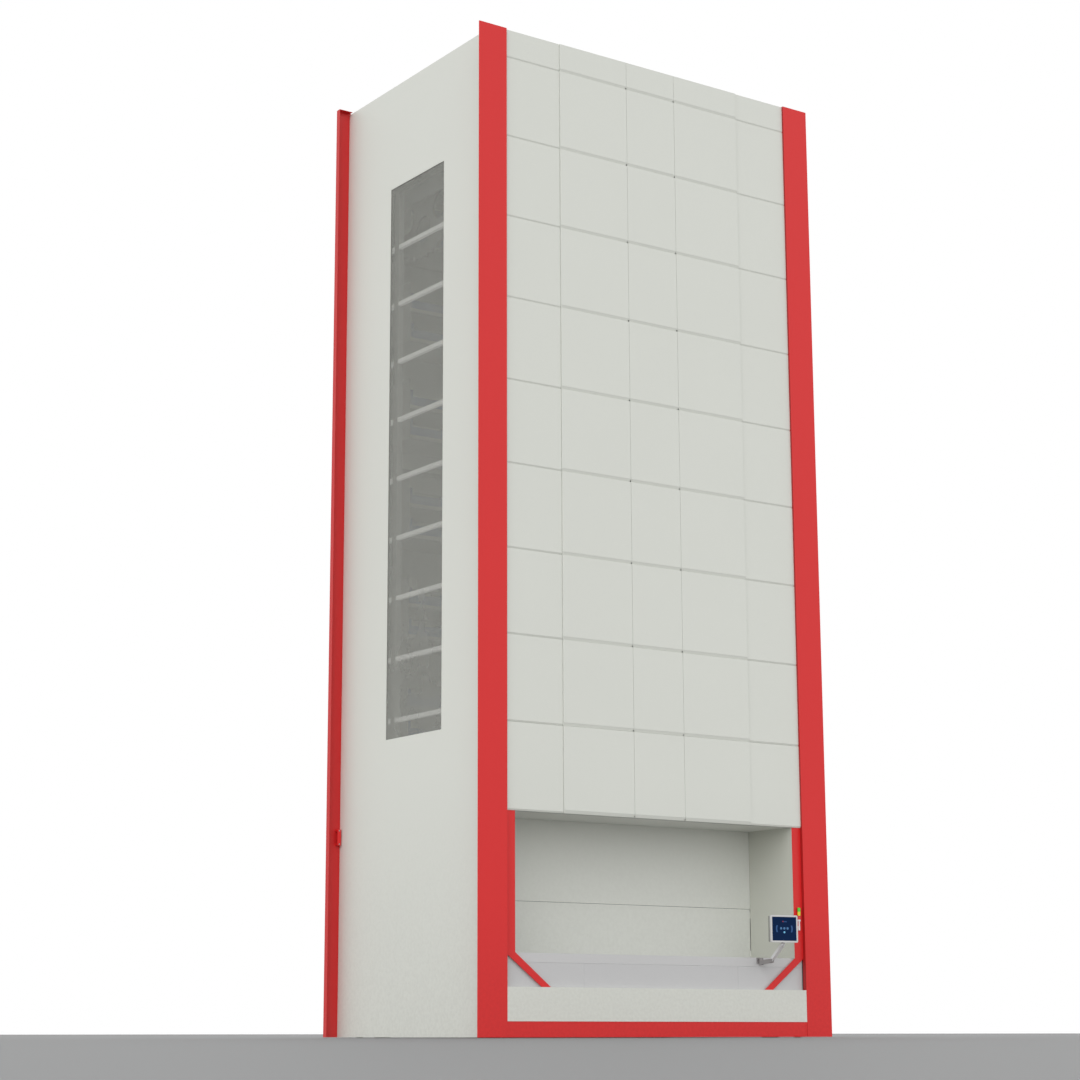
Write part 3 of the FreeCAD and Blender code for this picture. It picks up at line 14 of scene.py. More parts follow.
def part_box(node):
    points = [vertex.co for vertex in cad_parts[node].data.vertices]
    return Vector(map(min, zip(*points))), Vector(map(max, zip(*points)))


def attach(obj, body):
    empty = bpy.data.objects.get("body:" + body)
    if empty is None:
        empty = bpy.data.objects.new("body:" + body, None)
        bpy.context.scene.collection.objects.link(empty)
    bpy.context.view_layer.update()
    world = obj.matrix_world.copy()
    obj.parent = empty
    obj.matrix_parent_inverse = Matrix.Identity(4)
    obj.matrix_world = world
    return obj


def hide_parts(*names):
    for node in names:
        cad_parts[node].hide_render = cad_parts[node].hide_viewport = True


QUARTER = math.pi / 2
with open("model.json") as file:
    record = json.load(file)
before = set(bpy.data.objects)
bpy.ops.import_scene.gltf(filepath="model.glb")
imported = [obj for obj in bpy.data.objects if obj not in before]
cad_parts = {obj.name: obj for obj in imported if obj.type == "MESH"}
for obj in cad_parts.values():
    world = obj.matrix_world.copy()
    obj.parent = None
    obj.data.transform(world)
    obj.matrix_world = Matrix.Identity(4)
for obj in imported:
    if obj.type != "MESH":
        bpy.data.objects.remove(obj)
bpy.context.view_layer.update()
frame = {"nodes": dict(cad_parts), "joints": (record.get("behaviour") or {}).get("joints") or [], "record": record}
joints = {joint["name"]: joint for joint in frame["joints"]}

# %% [markdown]
# ## Camera
# The viewer stands close to the floor, far to the front left, and looks up. A long
# lens keeps the tower's edges nearly parallel. The rotation is built from three
# turns, heading, pitch and a trace of roll, and a small shift frames the tower.

# %% Set the camera
CAMERA_PLACE = (-13.5064, -18.7194, 0.0356)
CAMERA_LENS = 78.023
CAMERA_HEADING = math.radians(-34.175)
CAMERA_PITCH = math.radians(11.945)
CAMERA_ROLL = math.radians(-0.063)
CAMERA_SHIFT = (0.0286, -0.0012)
bpy.ops.object.camera_add(location=CAMERA_PLACE)
camera = bpy.context.object
camera.name = "camera"
camera.data.lens = CAMERA_LENS
camera.data.sensor_width = 36.0
camera.data.shift_x, camera.data.shift_y = CAMERA_SHIFT
camera.data.clip_end = 1000.0
heading = Matrix.Rotation(CAMERA_HEADING, 3, "Z")
pitch = Matrix.Rotation(QUARTER + CAMERA_PITCH, 3, "X")
roll = Matrix.Rotation(CAMERA_ROLL, 3, "Z")
camera.rotation_euler = (heading @ pitch @ roll).to_euler()
bpy.context.scene.camera = camera
bpy.context.scene.view_settings.view_transform = "Standard"

# %% [markdown]
# ## Floor, sky and lamps
# A grey floor runs to the horizon and the sky is a plain white. The floor is paler
# for the light that it throws back than for the eye, which lifts the downward faces.
# The sky alone gives soft shade inside the bay. Two very wide suns lift the upright
# faces to the level at which a paint renders about as its colour is written. One
# helper makes every shader node: it takes plain values and other nodes' outputs alike.

# %% Make the floor and the light
FLOOR_SIZE = 900.0
FLOOR_COLOUR = (0.207, 0.210, 0.213, 1)
BOUNCE_COLOUR = (0.33, 0.33, 0.325, 1)
SKY_COLOUR = (1.0, 1.0, 0.99, 1)
SKY_LEVEL = 0.92
SUN_HEIGHT = 30
SUN_SPREAD = math.radians(70)
# Each sun has a strength and the way that its light travels.
SUNS = {"key_sun": (1.45, (1.0, 0.95, -0.45)), "back_sun": (1.15, (-1.0, -1.1, -0.5))}


def new_material(name):
    material = bpy.data.materials.new(name)
    material.use_nodes = True
    return material, material.node_tree


def feed(tree, node, inputs):
    """Give each input a plain value, or link it to another node's output."""
    for label, value in inputs.items():
        if isinstance(value, bpy.types.NodeSocket):
            tree.links.new(value, node.inputs[label])
        else:
            node.inputs[label].default_value = value


def add_node(tree, kind, inputs=(), **settings):
    node = tree.nodes.new("ShaderNode" + kind)
    for key, value in settings.items():
        setattr(node, key, value)
    feed(tree, node, dict(inputs))
    return node


def add_mix(tree, factor, first, second):
    return add_node(tree, "Mix", {0: factor, 6: first, 7: second}, data_type="RGBA").outputs[2]


bpy.ops.mesh.primitive_plane_add(size=FLOOR_SIZE, location=(0, 0, 0))
floor = bpy.context.object
floor.name = "studio_floor"
bpy.ops.object.transform_apply(location=True, rotation=True, scale=True)
floor_paint, tree = new_material("studio_floor")
seen = add_node(tree, "LightPath").outputs["Is Camera Ray"]
feed(tree, tree.nodes["Principled BSDF"],
     {"Base Color": add_mix(tree, seen, BOUNCE_COLOUR, FLOOR_COLOUR), "Roughness": 0.75,
      "Specular IOR Level": 0.2})
floor.data.materials.append(floor_paint)

world = bpy.data.worlds.new("sky")
bpy.context.scene.world = world
world.use_nodes = True
tree = world.node_tree
tree.nodes.clear()
ray = add_node(tree, "LightPath").outputs
direct = add_node(tree, "Math", {0: ray["Is Camera Ray"], 1: ray["Is Transmission Ray"]},
                  operation="MAXIMUM")
lit_sky = add_node(tree, "Background", {"Color": SKY_COLOUR, "Strength": SKY_LEVEL})
seen_sky = add_node(tree, "Background", {"Color": (1, 1, 1, 1), "Strength": 1.0})
sky = add_node(tree, "MixShader", {0: direct.outputs[0], 1: lit_sky.outputs[0], 2: seen_sky.outputs[0]})
add_node(tree, "OutputWorld", {0: sky.outputs[0]})

for name, (level, direction) in SUNS.items():
    bpy.ops.object.light_add(type="SUN", location=(0, 0, SUN_HEIGHT))
    sun = bpy.context.object
    sun.name = name
    sun.data.energy = level
    sun.data.angle = SUN_SPREAD
    sun.rotation_euler = Vector(direction).to_track_quat("-Z", "Y").to_euler()

# %% [markdown]
# ## Shared paint effects
# Powder coat is never one flat colour: it has a fine orange peel, a faint mottle from
# uneven film, and a darker tone near the floor: grey dust on most paints, and on the
# red paint a darker red, a painted shade. These live in one node group, so every paint
# gets them with its own values. Bare metal gets a second group that draws long brush
# lines. Both groups give out only colour, roughness and height.

# %% Build the node groups
COLOUR, NUMBER = "NodeSocketColor", "NodeSocketFloat"
BROAD_SCALE, FINE_SCALE, PEEL_SCALE = 0.9, 34.0, 260.0
BRUSH_SCALE, BLOTCH_SCALE = 6.0, 9.0
BRUSH_STRETCH = (2.0, 60.0, 60.0)
# The noise between the first two numbers is spread over the last two.
DUST_AND_SHADE_PATCHES = (0.35, 0.7, 0.3, 1.0)
STAIN_PATCHES = (0.52, 0.75, 0.0, 1.0)


def new_group(name, inputs):
    """Group with the given inputs; returns it with its input sockets and output node."""
    group = bpy.data.node_groups.new(name, "ShaderNodeTree")
    for label, kind, value in inputs:
        item = group.interface.new_socket(name=label, in_out="INPUT", socket_type=kind)
        item.default_value = value
    for label, kind in (("Colour", COLOUR), ("Roughness", NUMBER), ("Height", NUMBER)):
        group.interface.new_socket(name=label, in_out="OUTPUT", socket_type=kind)
    return group, group.nodes.new("NodeGroupInput").outputs, group.nodes.new("NodeGroupOutput")


def add_noise(tree, place, scale, detail):
    return add_node(tree, "TexNoise", {"Vector": place, "Scale": scale, "Detail": detail}).outputs["Fac"]


def add_math(tree, operation, first, second, clamp=False):
    return add_node(tree, "Math", {0: first, 1: second}, operation=operation, use_clamp=clamp).outputs[0]


def add_range(tree, value, low, high, to_low, to_high):
    limits = {"Value": value, "From Min": low, "From Max": high, "To Min": to_low, "To Max": to_high}
    return add_node(tree, "MapRange", limits).outputs["Result"]


def centred(tree, noise, size):
    """Noise as a rise and fall about zero."""
    return add_math(tree, "MULTIPLY", add_math(tree, "SUBTRACT", noise, 0.5), size)


coat, given, result = new_group(
    "powder_coat",
    [("Colour", COLOUR, (0.6, 0.6, 0.6, 1)), ("Dust", COLOUR, (0.30, 0.29, 0.26, 1)),
     ("Mottle", NUMBER, 0.03), ("Dust Amount", NUMBER, 0.25), ("Dust Height", NUMBER, 0.6),
     ("Peel Scale", NUMBER, PEEL_SCALE), ("Roughness", NUMBER, 0.45)])
place = add_node(coat, "TexCoord").outputs["Object"]
fine = add_noise(coat, place, FINE_SCALE, 4.0)
drift = add_math(coat, "ADD", centred(coat, add_noise(coat, place, BROAD_SCALE, 3.0), 1.0),
                 centred(coat, fine, 0.5))
shade = add_math(coat, "ADD", 1.0, add_math(coat, "MULTIPLY", drift, given["Mottle"]))
shaded = add_node(coat, "VectorMath", operation="SCALE")
feed(coat, shaded, {0: given["Colour"], "Scale": shade})
height = add_node(coat, "SeparateXYZ", {0: place}).outputs["Z"]
# Dust near the floor; on the red paint this darker mix is painted shade.
low_dust_and_shade = add_range(coat, height, 0.0, given["Dust Height"], 1.0, 0.0)
patchy = add_math(coat, "MULTIPLY", low_dust_and_shade, add_range(coat, fine, *DUST_AND_SHADE_PATCHES))
dust_and_shade = add_math(coat, "MULTIPLY", patchy, given["Dust Amount"], True)
rough = add_math(coat, "ADD", given["Roughness"], centred(coat, fine, 0.12))
feed(coat, result,
     {"Colour": add_mix(coat, dust_and_shade, shaded.outputs[0], given["Dust"]),
      "Roughness": add_math(coat, "ADD", rough, add_math(coat, "MULTIPLY", dust_and_shade, 0.3), True),
      "Height": add_noise(coat, place, given["Peel Scale"], 2.0)})

brush, given, result = new_group(
    "brushed_metal",
    [("Colour", COLOUR, (0.5, 0.5, 0.5, 1)), ("Stain", COLOUR, (0.12, 0.10, 0.08, 1)),
     ("Stain Amount", NUMBER, 0.3), ("Roughness", NUMBER, 0.35)])
place = add_node(brush, "TexCoord").outputs["Object"]
stretched = add_node(brush, "Mapping", {"Vector": place, "Scale": BRUSH_STRETCH}).outputs[0]
lines = add_noise(brush, stretched, BRUSH_SCALE, 5.0)
blotch = add_range(brush, add_noise(brush, place, BLOTCH_SCALE, 5.0), *STAIN_PATCHES)
stain = add_math(brush, "MULTIPLY", blotch, given["Stain Amount"], True)
rough = add_math(brush, "ADD", given["Roughness"], centred(brush, lines, 0.3))
feed(brush, result,
     {"Colour": add_mix(brush, stain, given["Colour"], given["Stain"]),
      "Roughness": add_math(brush, "ADD", rough, add_math(brush, "MULTIPLY", stain, 0.25), True),
      "Height": lines})
print("node groups:", [group.name for group in bpy.data.node_groups])

# %% [markdown]
# ## Paints and metals
# Each finish is one material. The shader stays in the material itself, and only the
# values that vary over a surface come from a group. A paint's row gives its colour,
# roughness, mottle, dust, the dust's height and the dust's colour; the red paint's
# dust colour is a darker red, painted shade near the floor.

# %% Make the paints and metals
GREY_DUST = (0.30, 0.29, 0.26)
# Darker red mixed into the red paint near the floor: painted shade.
PAINTED_SHADE_RED = (0.36, 0.010, 0.010)
# The strength and the depth of each bump.
PAINT_BUMP, METAL_BUMP, PLASTIC_BUMP = (0.25, 0.0004), (0.2, 0.0003), (0.3, 0.0002)
PLASTIC_PEEL = 900.0
PAINTS = {
    "white_paint": ((0.685, 0.700, 0.655), 0.45, 0.03, 0.2, 2.4),
    # The red's dust colour is a darker red: painted shade towards the floor.
    "red_paint": ((0.695, 0.016, 0.017), 0.42, 0.04, 0.28, 1.2, PAINTED_SHADE_RED),
    # The next four rows are darker or lighter tones of other paints for single faces: painted shade, and painted
    # light on the counter's nose.
    "shaded_red_paint": ((0.370, 0.009, 0.009), 0.42, 0.04, 0.04, 0.3),
    "rear_red_paint": ((0.590, 0.014, 0.015), 0.42, 0.04, 0.04, 0.3),
    "nose_paint": ((0.560, 0.560, 0.566), 0.4, 0.04),
    "bay_side_paint": ((0.565, 0.575, 0.515),),
    "apron_paint": ((0.540, 0.540, 0.548),),
    "counter_paint": ((0.500, 0.500, 0.508), 0.4, 0.04),
    "frame_paint": ((0.42, 0.43, 0.42), 0.5),
    "cabinet_paint": ((0.50, 0.51, 0.49),),
    "carrier_paint": ((0.40, 0.41, 0.41), 0.45, 0.05, 0.0),
    "motor_paint": ((0.06, 0.13, 0.24), 0.4, 0.08, 0.4),
    "arm_paint": ((0.68, 0.68, 0.69), 0.4),
    "dark_arm_paint": ((0.27, 0.255, 0.255), 0.4),
    "cast_iron": ((0.10, 0.11, 0.12), 0.6, 0.2, 0.3),
}
METALS = {
    "zinc": ((0.56, 0.57, 0.58), 0.45, 0.2),
    "chain_steel": ((0.20, 0.20, 0.21), 0.5, 0.6),
    "shaft_steel": ((0.50, 0.50, 0.51), 0.3, 0.15),
}
PLASTICS = {
    "bin_plastic": ((0.035, 0.115, 0.33), 0.45),
    "black_plastic": ((0.018, 0.018, 0.020), 0.45),
    "hmi_plastic": ((0.58, 0.58, 0.585), 0.4),
    "head_back_plastic": ((0.28, 0.285, 0.265), 0.5),
    "rubber": ((0.10, 0.10, 0.098), 0.8),
}


def new_finish(name, group, values, bump, surface=()):
    """Material that takes its look from a group; surface sets the shader's other values."""
    material, tree = new_material(name)
    look = add_node(tree, "Group", values, node_tree=group).outputs
    relief = add_node(tree, "Bump", {"Strength": bump[0], "Distance": bump[1], "Height": look["Height"]})
    feed(tree, tree.nodes["Principled BSDF"],
         {"Base Color": look["Colour"], "Roughness": look["Roughness"], "Normal": relief.outputs[0],
          **dict(surface)})
    return material


# The dust values also carry the red paint's painted shade near the floor.
def paint(name, colour, rough=0.45, mottle=0.03, dust=0.2, dust_height=0.5, soil_and_shade=GREY_DUST, surface=()):
    values = {"Colour": colour + (1,), "Roughness": rough, "Mottle": mottle, "Dust Amount": dust,
              "Dust Height": dust_height, "Dust": soil_and_shade + (1,)}
    return new_finish(name, coat, values, PAINT_BUMP, surface)


def metal(name, colour, rough, stain):
    values = {"Colour": colour + (1,), "Roughness": rough, "Stain Amount": stain}
    return new_finish(name, brush, values, METAL_BUMP, {"Metallic": 1.0})


def plastic(name, colour, rough):
    values = {"Colour": colour + (1,), "Roughness": rough, "Mottle": 0.05, "Dust Amount": 0.0,
              "Peel Scale": PLASTIC_PEEL}
    return new_finish(name, coat, values, PLASTIC_BUMP)


finishes = {}
for make, rows in ((paint, PAINTS), (metal, METALS), (plastic, PLASTICS)):
    finishes.update({name: make(name, *row) for name, row in rows.items()})
print(len(finishes), "finishes")

# %% [markdown]
# ## Glass, lenses and the screen
# The window is grey and milky: shapes behind it stay readable but lose their edges.
# A rough, barely bending glass blurs them, and a share of plain haze, larger near the
# floor, lifts them to grey. Shadow rays pass it tinted, so daylight still falls on the
# frame behind. Each lens of the signal light is a dyed plastic with a slight glow, and
# the screen is dark glass over a dim navy picture with lit signs.

# %% Make the see-through finishes
GLASS_COLOUR = (0.80, 0.81, 0.79, 1)
HAZE_COLOUR = (0.455, 0.460, 0.430, 1)
HAZE_HEIGHTS, HAZE_LEVELS = (2.0, 8.4), (0.41, 0.35)
HAZE_CLOUD, CLOUD_SCALE = (0.3, 0.7, -0.02, 0.02), 3.0
PASSED_LIGHT = (0.45, 0.45, 0.44, 1)
LENS_BUMP, SCREEN_BUMP = (0.1, 0.0002), (0.02, 0.0001)
LENS_PEEL = 600.0
# Each look is a colour and the strength of its glow.
LENS_LOOKS = {"lens_green": ((0.05, 0.53, 0.025), 0.08), "lens_yellow": ((0.66, 0.58, 0.02), 0.08),
              "lens_red": ((0.55, 0.018, 0.018), 0.06)}
MARK_LOOKS = {"mark_blue": ((0.040, 0.120, 0.25), 0.45), "mark_bright": ((0.10, 0.30, 0.46), 0.6),
              "mark_faint": ((0.008, 0.045, 0.140), 0.6), "mark_red": ((0.20, 0.015, 0.03), 0.6)}
SCREEN_COLOUR, SCREEN_LOOK = (0.0020, 0.0045, 0.0180), ((0.0028, 0.0140, 0.0480), 0.9)
# The rungs are no lamp: their glow is painted light.
RUNG_COLOUR, RUNG_PAINTED_GLOW = (0.86, 0.85, 0.85), 0.33


def make_glass():
    material, tree = new_material("window_glass")
    place = add_node(tree, "TexCoord").outputs["Object"]
    height = add_node(tree, "SeparateXYZ", {0: place}).outputs["Z"]
    cloud = add_range(tree, add_noise(tree, place, CLOUD_SCALE, 4.0), *HAZE_CLOUD)
    share = add_math(tree, "ADD", add_range(tree, height, *HAZE_HEIGHTS, *HAZE_LEVELS), cloud)
    glass = tree.nodes["Principled BSDF"]
    feed(tree, glass, {"Base Color": GLASS_COLOUR, "Transmission Weight": 1.0, "Roughness": 0.09,
                       "IOR": 1.03})
    haze = add_node(tree, "BsdfDiffuse", {"Color": HAZE_COLOUR})
    clear = add_node(tree, "BsdfTransparent", {"Color": PASSED_LIGHT})
    milky = add_node(tree, "MixShader", {0: share, 1: glass.outputs[0], 2: haze.outputs[0]})
    shadow = add_node(tree, "LightPath").outputs["Is Shadow Ray"]
    final = add_node(tree, "MixShader", {0: shadow, 1: milky.outputs[0], 2: clear.outputs[0]})
    feed(tree, tree.nodes["Material Output"], {"Surface": final.outputs[0]})
    return material


def glow(colour, level):
    return {"Emission Color": colour + (1,), "Emission Strength": level}


def make_lens(name, colour, level):
    values = {"Colour": colour + (1,), "Roughness": 0.22, "Mottle": 0.05, "Dust Amount": 0.0,
              "Peel Scale": LENS_PEEL}
    return new_finish(name, coat, values, LENS_BUMP, {"Coat Weight": 0.5, **glow(colour, level)})


def make_display(name, colour, mottle, surface):
    values = {"Colour": colour + (1,), "Roughness": 0.5, "Mottle": mottle, "Dust Amount": 0.0}
    return new_finish(name, coat, values, SCREEN_BUMP, surface)


finishes["window_glass"] = make_glass()
finishes.update({name: make_lens(name, *row) for name, row in LENS_LOOKS.items()})
finishes["lamp_plastic"] = finishes["lens_green"]
finishes["screen_glass"] = make_display("screen_glass", SCREEN_COLOUR, 0.3,
                                        {"Specular IOR Level": 0.04, **glow(*SCREEN_LOOK)})
for name, (colour, level) in MARK_LOOKS.items():
    finishes[name] = make_display(name, colour, 0.02, glow(colour, level))
# Painted light: a faint glow on the rungs, which are no lamp.
finishes["rung_paint"] = paint("rung_paint", RUNG_COLOUR, 0.5, surface=glow(RUNG_COLOUR, RUNG_PAINTED_GLOW))

# %% [markdown]
# ## Dress the frame
# The record says which finish each node takes, so a change there carries over here.
# The rungs of the side frames are paler than the uprights, so their faces take a
# second finish, which also glows a little: painted light that lifts them through the
# haze. A rung is 40 mm high, and the one behind the window's top edge stays as dark as
# the uprights. A few more nodes take a second finish on some faces: darker copies of
# their paint as painted shade, and one lighter copy as painted light.

# %% Give every node its finish
RUNG_PITCH = 0.600
RUNG_HALF = 0.021
RUNG_TOP = 8.2
ALONG = 0.9


def coat_all(mesh, finish):
    """Give a whole mesh one finish."""
    mesh.materials.clear()
    mesh.materials.append(finishes[finish])
    for face in mesh.polygons:
        face.material_index = 0


def second_finish(node, finish, test):
    """Give the faces that pass the test, on a face and its corners, a second finish."""
    mesh = frame["nodes"][node].data
    mesh.materials.append(finishes[finish])
    for face in mesh.polygons:
        if test(face, [mesh.vertices[index].co for index in face.vertices]):
            face.material_index = 1


def on_rung(point):
    return point.z < RUNG_TOP and abs(point.z - round(point.z / RUNG_PITCH) * RUNG_PITCH) < RUNG_HALF


for part in frame["record"]["subparts"]:
    coat_all(frame["nodes"][part["node"]].data, part["material_slot"])
second_finish("side_frames", "rung_paint", lambda face, corners: all(map(on_rung, corners)))
# The inner side faces of the front posts take a darker red: painted shade inside the bay.
second_finish("front_posts", "shaded_red_paint", lambda face, _: face.normal.x * face.center.x < -ALONG)
# The rear posts take a darker red all over: painted shade.
second_finish("rear_posts", "rear_red_paint", lambda face, _: True)
# The bracket takes the dark arm paint on all faces: painted shade.
second_finish("hmi_bracket", "dark_arm_paint", lambda face, _: True)
# The front faces of the counter top take a lighter grey: painted light.
second_finish("counter_top", "nose_paint", lambda face, _: face.normal.y < -ALONG)
# The right wall of the bay takes a darker, yellower grey: painted shade.
second_finish("bay_liners", "bay_side_paint",
              lambda face, _: face.center.x > 0 and face.normal.x < -ALONG)

# %% [markdown]
# ## Tools for the pieces
# Every new piece is made as by hand: a primitive is added at its size and place, then
# shaped in edit mode, and finished with a bevel that is applied. These helpers keep
# the selection clean, because an operator acts on all that is selected.

# %% Helpers for modelling
WAYS = {"X": Vector((1, 0, 0)), "Y": Vector((0, 1, 0)), "Z": Vector((0, 0, 1)),
        "-X": Vector((-1, 0, 0)), "-Y": Vector((0, -1, 0))}
TURN_TO = {"X": (0, QUARTER, 0), "Y": (-QUARTER, 0, 0), "Z": (0, 0, 0)}
MESH_PARTS = {"FACE": "polygons", "EDGE": "edges", "VERT": "vertices"}
SHARP = math.radians(40)


def deselect():
    for item in bpy.context.selected_objects:
        item.select_set(False)


def make_active(piece):
    deselect()
    piece.select_set(True)
    bpy.context.view_layer.objects.active = piece


def settle(name):
    """Name the object just added, and put its place and size in its mesh."""
    piece = bpy.context.object
    piece.name = name
    bpy.ops.object.transform_apply(location=True, rotation=True, scale=True)
    return piece


def add_block(name, low, high):
    """Block between two corners."""
    deselect()
    bpy.ops.mesh.primitive_cube_add(size=1, location=[(a + b) / 2 for a, b in zip(low, high)])
    bpy.context.object.scale = [b - a for a, b in zip(low, high)]
    return settle(name)


def add_disc(name, radius, start, axis, length, sides=24):
    """Round bar from start along an axis."""
    deselect()
    middle = Vector(start) + WAYS[axis] * length / 2
    bpy.ops.mesh.primitive_cylinder_add(vertices=sides, radius=radius, depth=length, location=middle,
                                        rotation=TURN_TO[axis])
    return settle(name)


def pick(piece, kind, test):
    """Select the faces, edges or points that pass the test, and open edit mode."""
    make_active(piece)
    bpy.ops.object.mode_set(mode="EDIT")
    bpy.ops.mesh.select_mode(type=kind)
    bpy.ops.mesh.select_all(action="DESELECT")
    bpy.ops.object.mode_set(mode="OBJECT")
    for item in getattr(piece.data, MESH_PARTS[kind]):
        item.select = test(item)
    bpy.ops.object.mode_set(mode="EDIT")


def pick_side(piece, way, least=ALONG):
    """Select the faces that look along a way, and open edit mode."""
    pick(piece, "FACE", lambda face: face.normal.dot(WAYS[way]) > least)


def push(x, y, z):
    """Extrude the selection by a step."""
    bpy.ops.mesh.extrude_region_move(TRANSFORM_OT_translate={"value": (x, y, z)})


def finish_edit():
    bpy.ops.mesh.select_all(action="SELECT")
    bpy.ops.mesh.normals_make_consistent(inside=False)
    bpy.ops.object.mode_set(mode="OBJECT")


def sink(piece, way, rim, step):
    """Inset the faces that look along a way, and push the inner part by a step."""
    pick_side(piece, way)
    bpy.ops.mesh.inset(thickness=rim)
    push(*step)
    finish_edit()


def add_modifier(piece, name, kind, **settings):
    modifier = piece.modifiers.new(name, kind)
    for key, value in settings.items():
        setattr(modifier, key, value)


def modify(piece, name, kind, **settings):
    """Add a modifier and apply it."""
    make_active(piece)
    add_modifier(piece, name, kind, **settings)
    bpy.ops.object.modifier_apply(modifier=name)


def round_edges(piece, width, segments=2):
    """Bevel the sharp edges and smooth what the bevel rounds."""
    modify(piece, "edges", "BEVEL", width=width, segments=segments, limit_method="ANGLE",
           angle_limit=SHARP)
    bpy.ops.object.shade_smooth_by_angle(angle=SHARP)


def round_corners(piece, width, axis, segments=5):
    """Bevel only the edges that run along one axis."""

    def runs_along(edge):
        start, end = (piece.data.vertices[index].co for index in edge.vertices)
        return abs(start[axis] - end[axis]) > 0.99 * (start - end).length

    pick(piece, "EDGE", runs_along)
    bpy.ops.mesh.bevel(offset=width, segments=segments, affect="EDGES")
    finish_edit()


def join_all(name, pieces):
    deselect()
    for item in pieces:
        item.select_set(True)
    bpy.context.view_layer.objects.active = pieces[0]
    if len(pieces) > 1:
        bpy.ops.object.join()
    whole = bpy.context.object
    whole.name = name
    whole.data.name = name
    return whole


def twin_of(source):
    twin = source.copy()
    twin.data = source.data.copy()
    bpy.context.collection.objects.link(twin)
    return twin


def copies(source, name, places):
    """One mesh that holds a copy of the source at each placement matrix; the source goes."""
    made = []
    for place in places:
        made.append(twin_of(source))
        made[-1].data.transform(place)
    bpy.data.objects.remove(source)
    return join_all(name, made)


def dress(piece, finish, body, *nodes):
    """Give a piece its finish, its body and the nodes that it stands for."""
    coat_all(piece.data, finish)
    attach(piece, body)
    if nodes:
        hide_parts(*nodes)
    return piece


def size_of(node):
    low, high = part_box(node)
    return Vector(low), Vector(high)

# %% [markdown]
# ## Control panel head
# The head is a moulded box: a rounded bezel in front, a slimmer back with louvres,
# and a tongue that hangs on the tilt pin. A block gives each shell its size, its
# four corners are rounded by a wide bevel, and the screen's seat is an inset that is
# pushed in. It is built square and then turned a little to the left, as it hangs.

# %% Build the head of the control panel
tilt_pin = Vector(joints["hmi_tilt"]["pos_m"])
HEAD_WIDE, HEAD_TALL = 0.300, 0.254
HEAD_TURN = math.radians(-8.0)
PIN_CLEAR = 0.016
BEZEL_THICK, BEZEL_CORNER = 0.020, 0.014
SCREEN_RIM, SCREEN_SEAT = 0.016, 0.004
BACK_DEEP, BACK_CORNER, BACK_MARGIN = 0.034, 0.010, 0.006
BACK_RIM, BACK_SUNK = 0.012, 0.003
ROOT = 0.004
LOUVRES, LOUVRE_DROP, LOUVRE_PITCH = 7, 0.060, 0.012
LOUVRE_HALF, LOUVRE_TALL, LOUVRE_SUNK = 0.070, 0.005, 0.0005
SCREW_INSET, SCREW_RADIUS, SCREW_LONG = 0.026, 0.0042, 0.0035
TONGUE_HALF, EYE_RADIUS = 0.004, 0.011
FINE_EDGE = 0.0008
head_low = tilt_pin.z + PIN_CLEAR
head_top = head_low + HEAD_TALL
head_left, head_right = tilt_pin.x - HEAD_WIDE / 2, tilt_pin.x + HEAD_WIDE / 2
bezel_back = tilt_pin.y - PIN_CLEAR
bezel_face = bezel_back - BEZEL_THICK
back_face = bezel_back + BACK_DEEP


def turn_head(piece):
    piece.data.transform(Matrix.Translation(tilt_pin) @ Matrix.Rotation(HEAD_TURN, 4, "Z")
                         @ Matrix.Translation(-tilt_pin))
    return piece


bezel = add_block("bezel", (head_left, bezel_face, head_low), (head_right, bezel_back, head_top))
round_corners(bezel, BEZEL_CORNER, 1)
sink(bezel, "-Y", SCREEN_RIM, (0, SCREEN_SEAT, 0))
round_edges(bezel, 0.0016, 3)
back = add_block("back", (head_left + BACK_MARGIN, bezel_back - 0.001, head_low + BACK_MARGIN),
                 (head_right - BACK_MARGIN, back_face, head_top - BACK_MARGIN))
round_corners(back, BACK_CORNER, 1)
sink(back, "Y", BACK_RIM, (0, -BACK_SUNK, 0))
round_edges(back, 0.0015)
back_parts = [back]
for k in range(LOUVRES):
    z = head_top - LOUVRE_DROP - k * LOUVRE_PITCH
    slat = add_block("slat", (tilt_pin.x - LOUVRE_HALF, back_face - ROOT, z),
                     (tilt_pin.x + LOUVRE_HALF, back_face - LOUVRE_SUNK, z + LOUVRE_TALL))
    round_edges(slat, 0.0012)
    back_parts.append(slat)
for x in (head_left + SCREW_INSET, head_right - SCREW_INSET):
    for z in (head_low + SCREW_INSET, head_top - SCREW_INSET):
        screw = add_disc("screw", SCREW_RADIUS, (x, back_face - ROOT, z), "Y", SCREW_LONG, 16)
        round_edges(screw, FINE_EDGE)
        back_parts.append(screw)
shell = turn_head(join_all("head_back", back_parts))
dress(shell, "head_back_plastic", "hmi_head")
turn_head(bezel)
tongue = add_block("tongue", (tilt_pin.x - TONGUE_HALF, tilt_pin.y - EYE_RADIUS, tilt_pin.z),
                   (tilt_pin.x + TONGUE_HALF, tilt_pin.y + EYE_RADIUS, head_low + 0.012))
round_edges(tongue, FINE_EDGE)
eye = add_disc("eye", EYE_RADIUS, (tilt_pin.x - TONGUE_HALF, tilt_pin.y, tilt_pin.z), "X",
               2 * TONGUE_HALF, 32)
round_edges(eye, FINE_EDGE)
head = join_all("control_head", [bezel, tongue, eye])
dress(head, "hmi_plastic", "hmi_head", "hmi_housing")
print("control head", len(head.data.polygons), "faces")

# %% [markdown]
# ## Screen and its picture
# The glass is a thin plate in the seat. The picture is generic: a dim field, a row of
# three round keys with a brighter one below, two arcs and two small status bars. Each
# sign is a very thin raised shape, so it keeps its place and colour from any side.

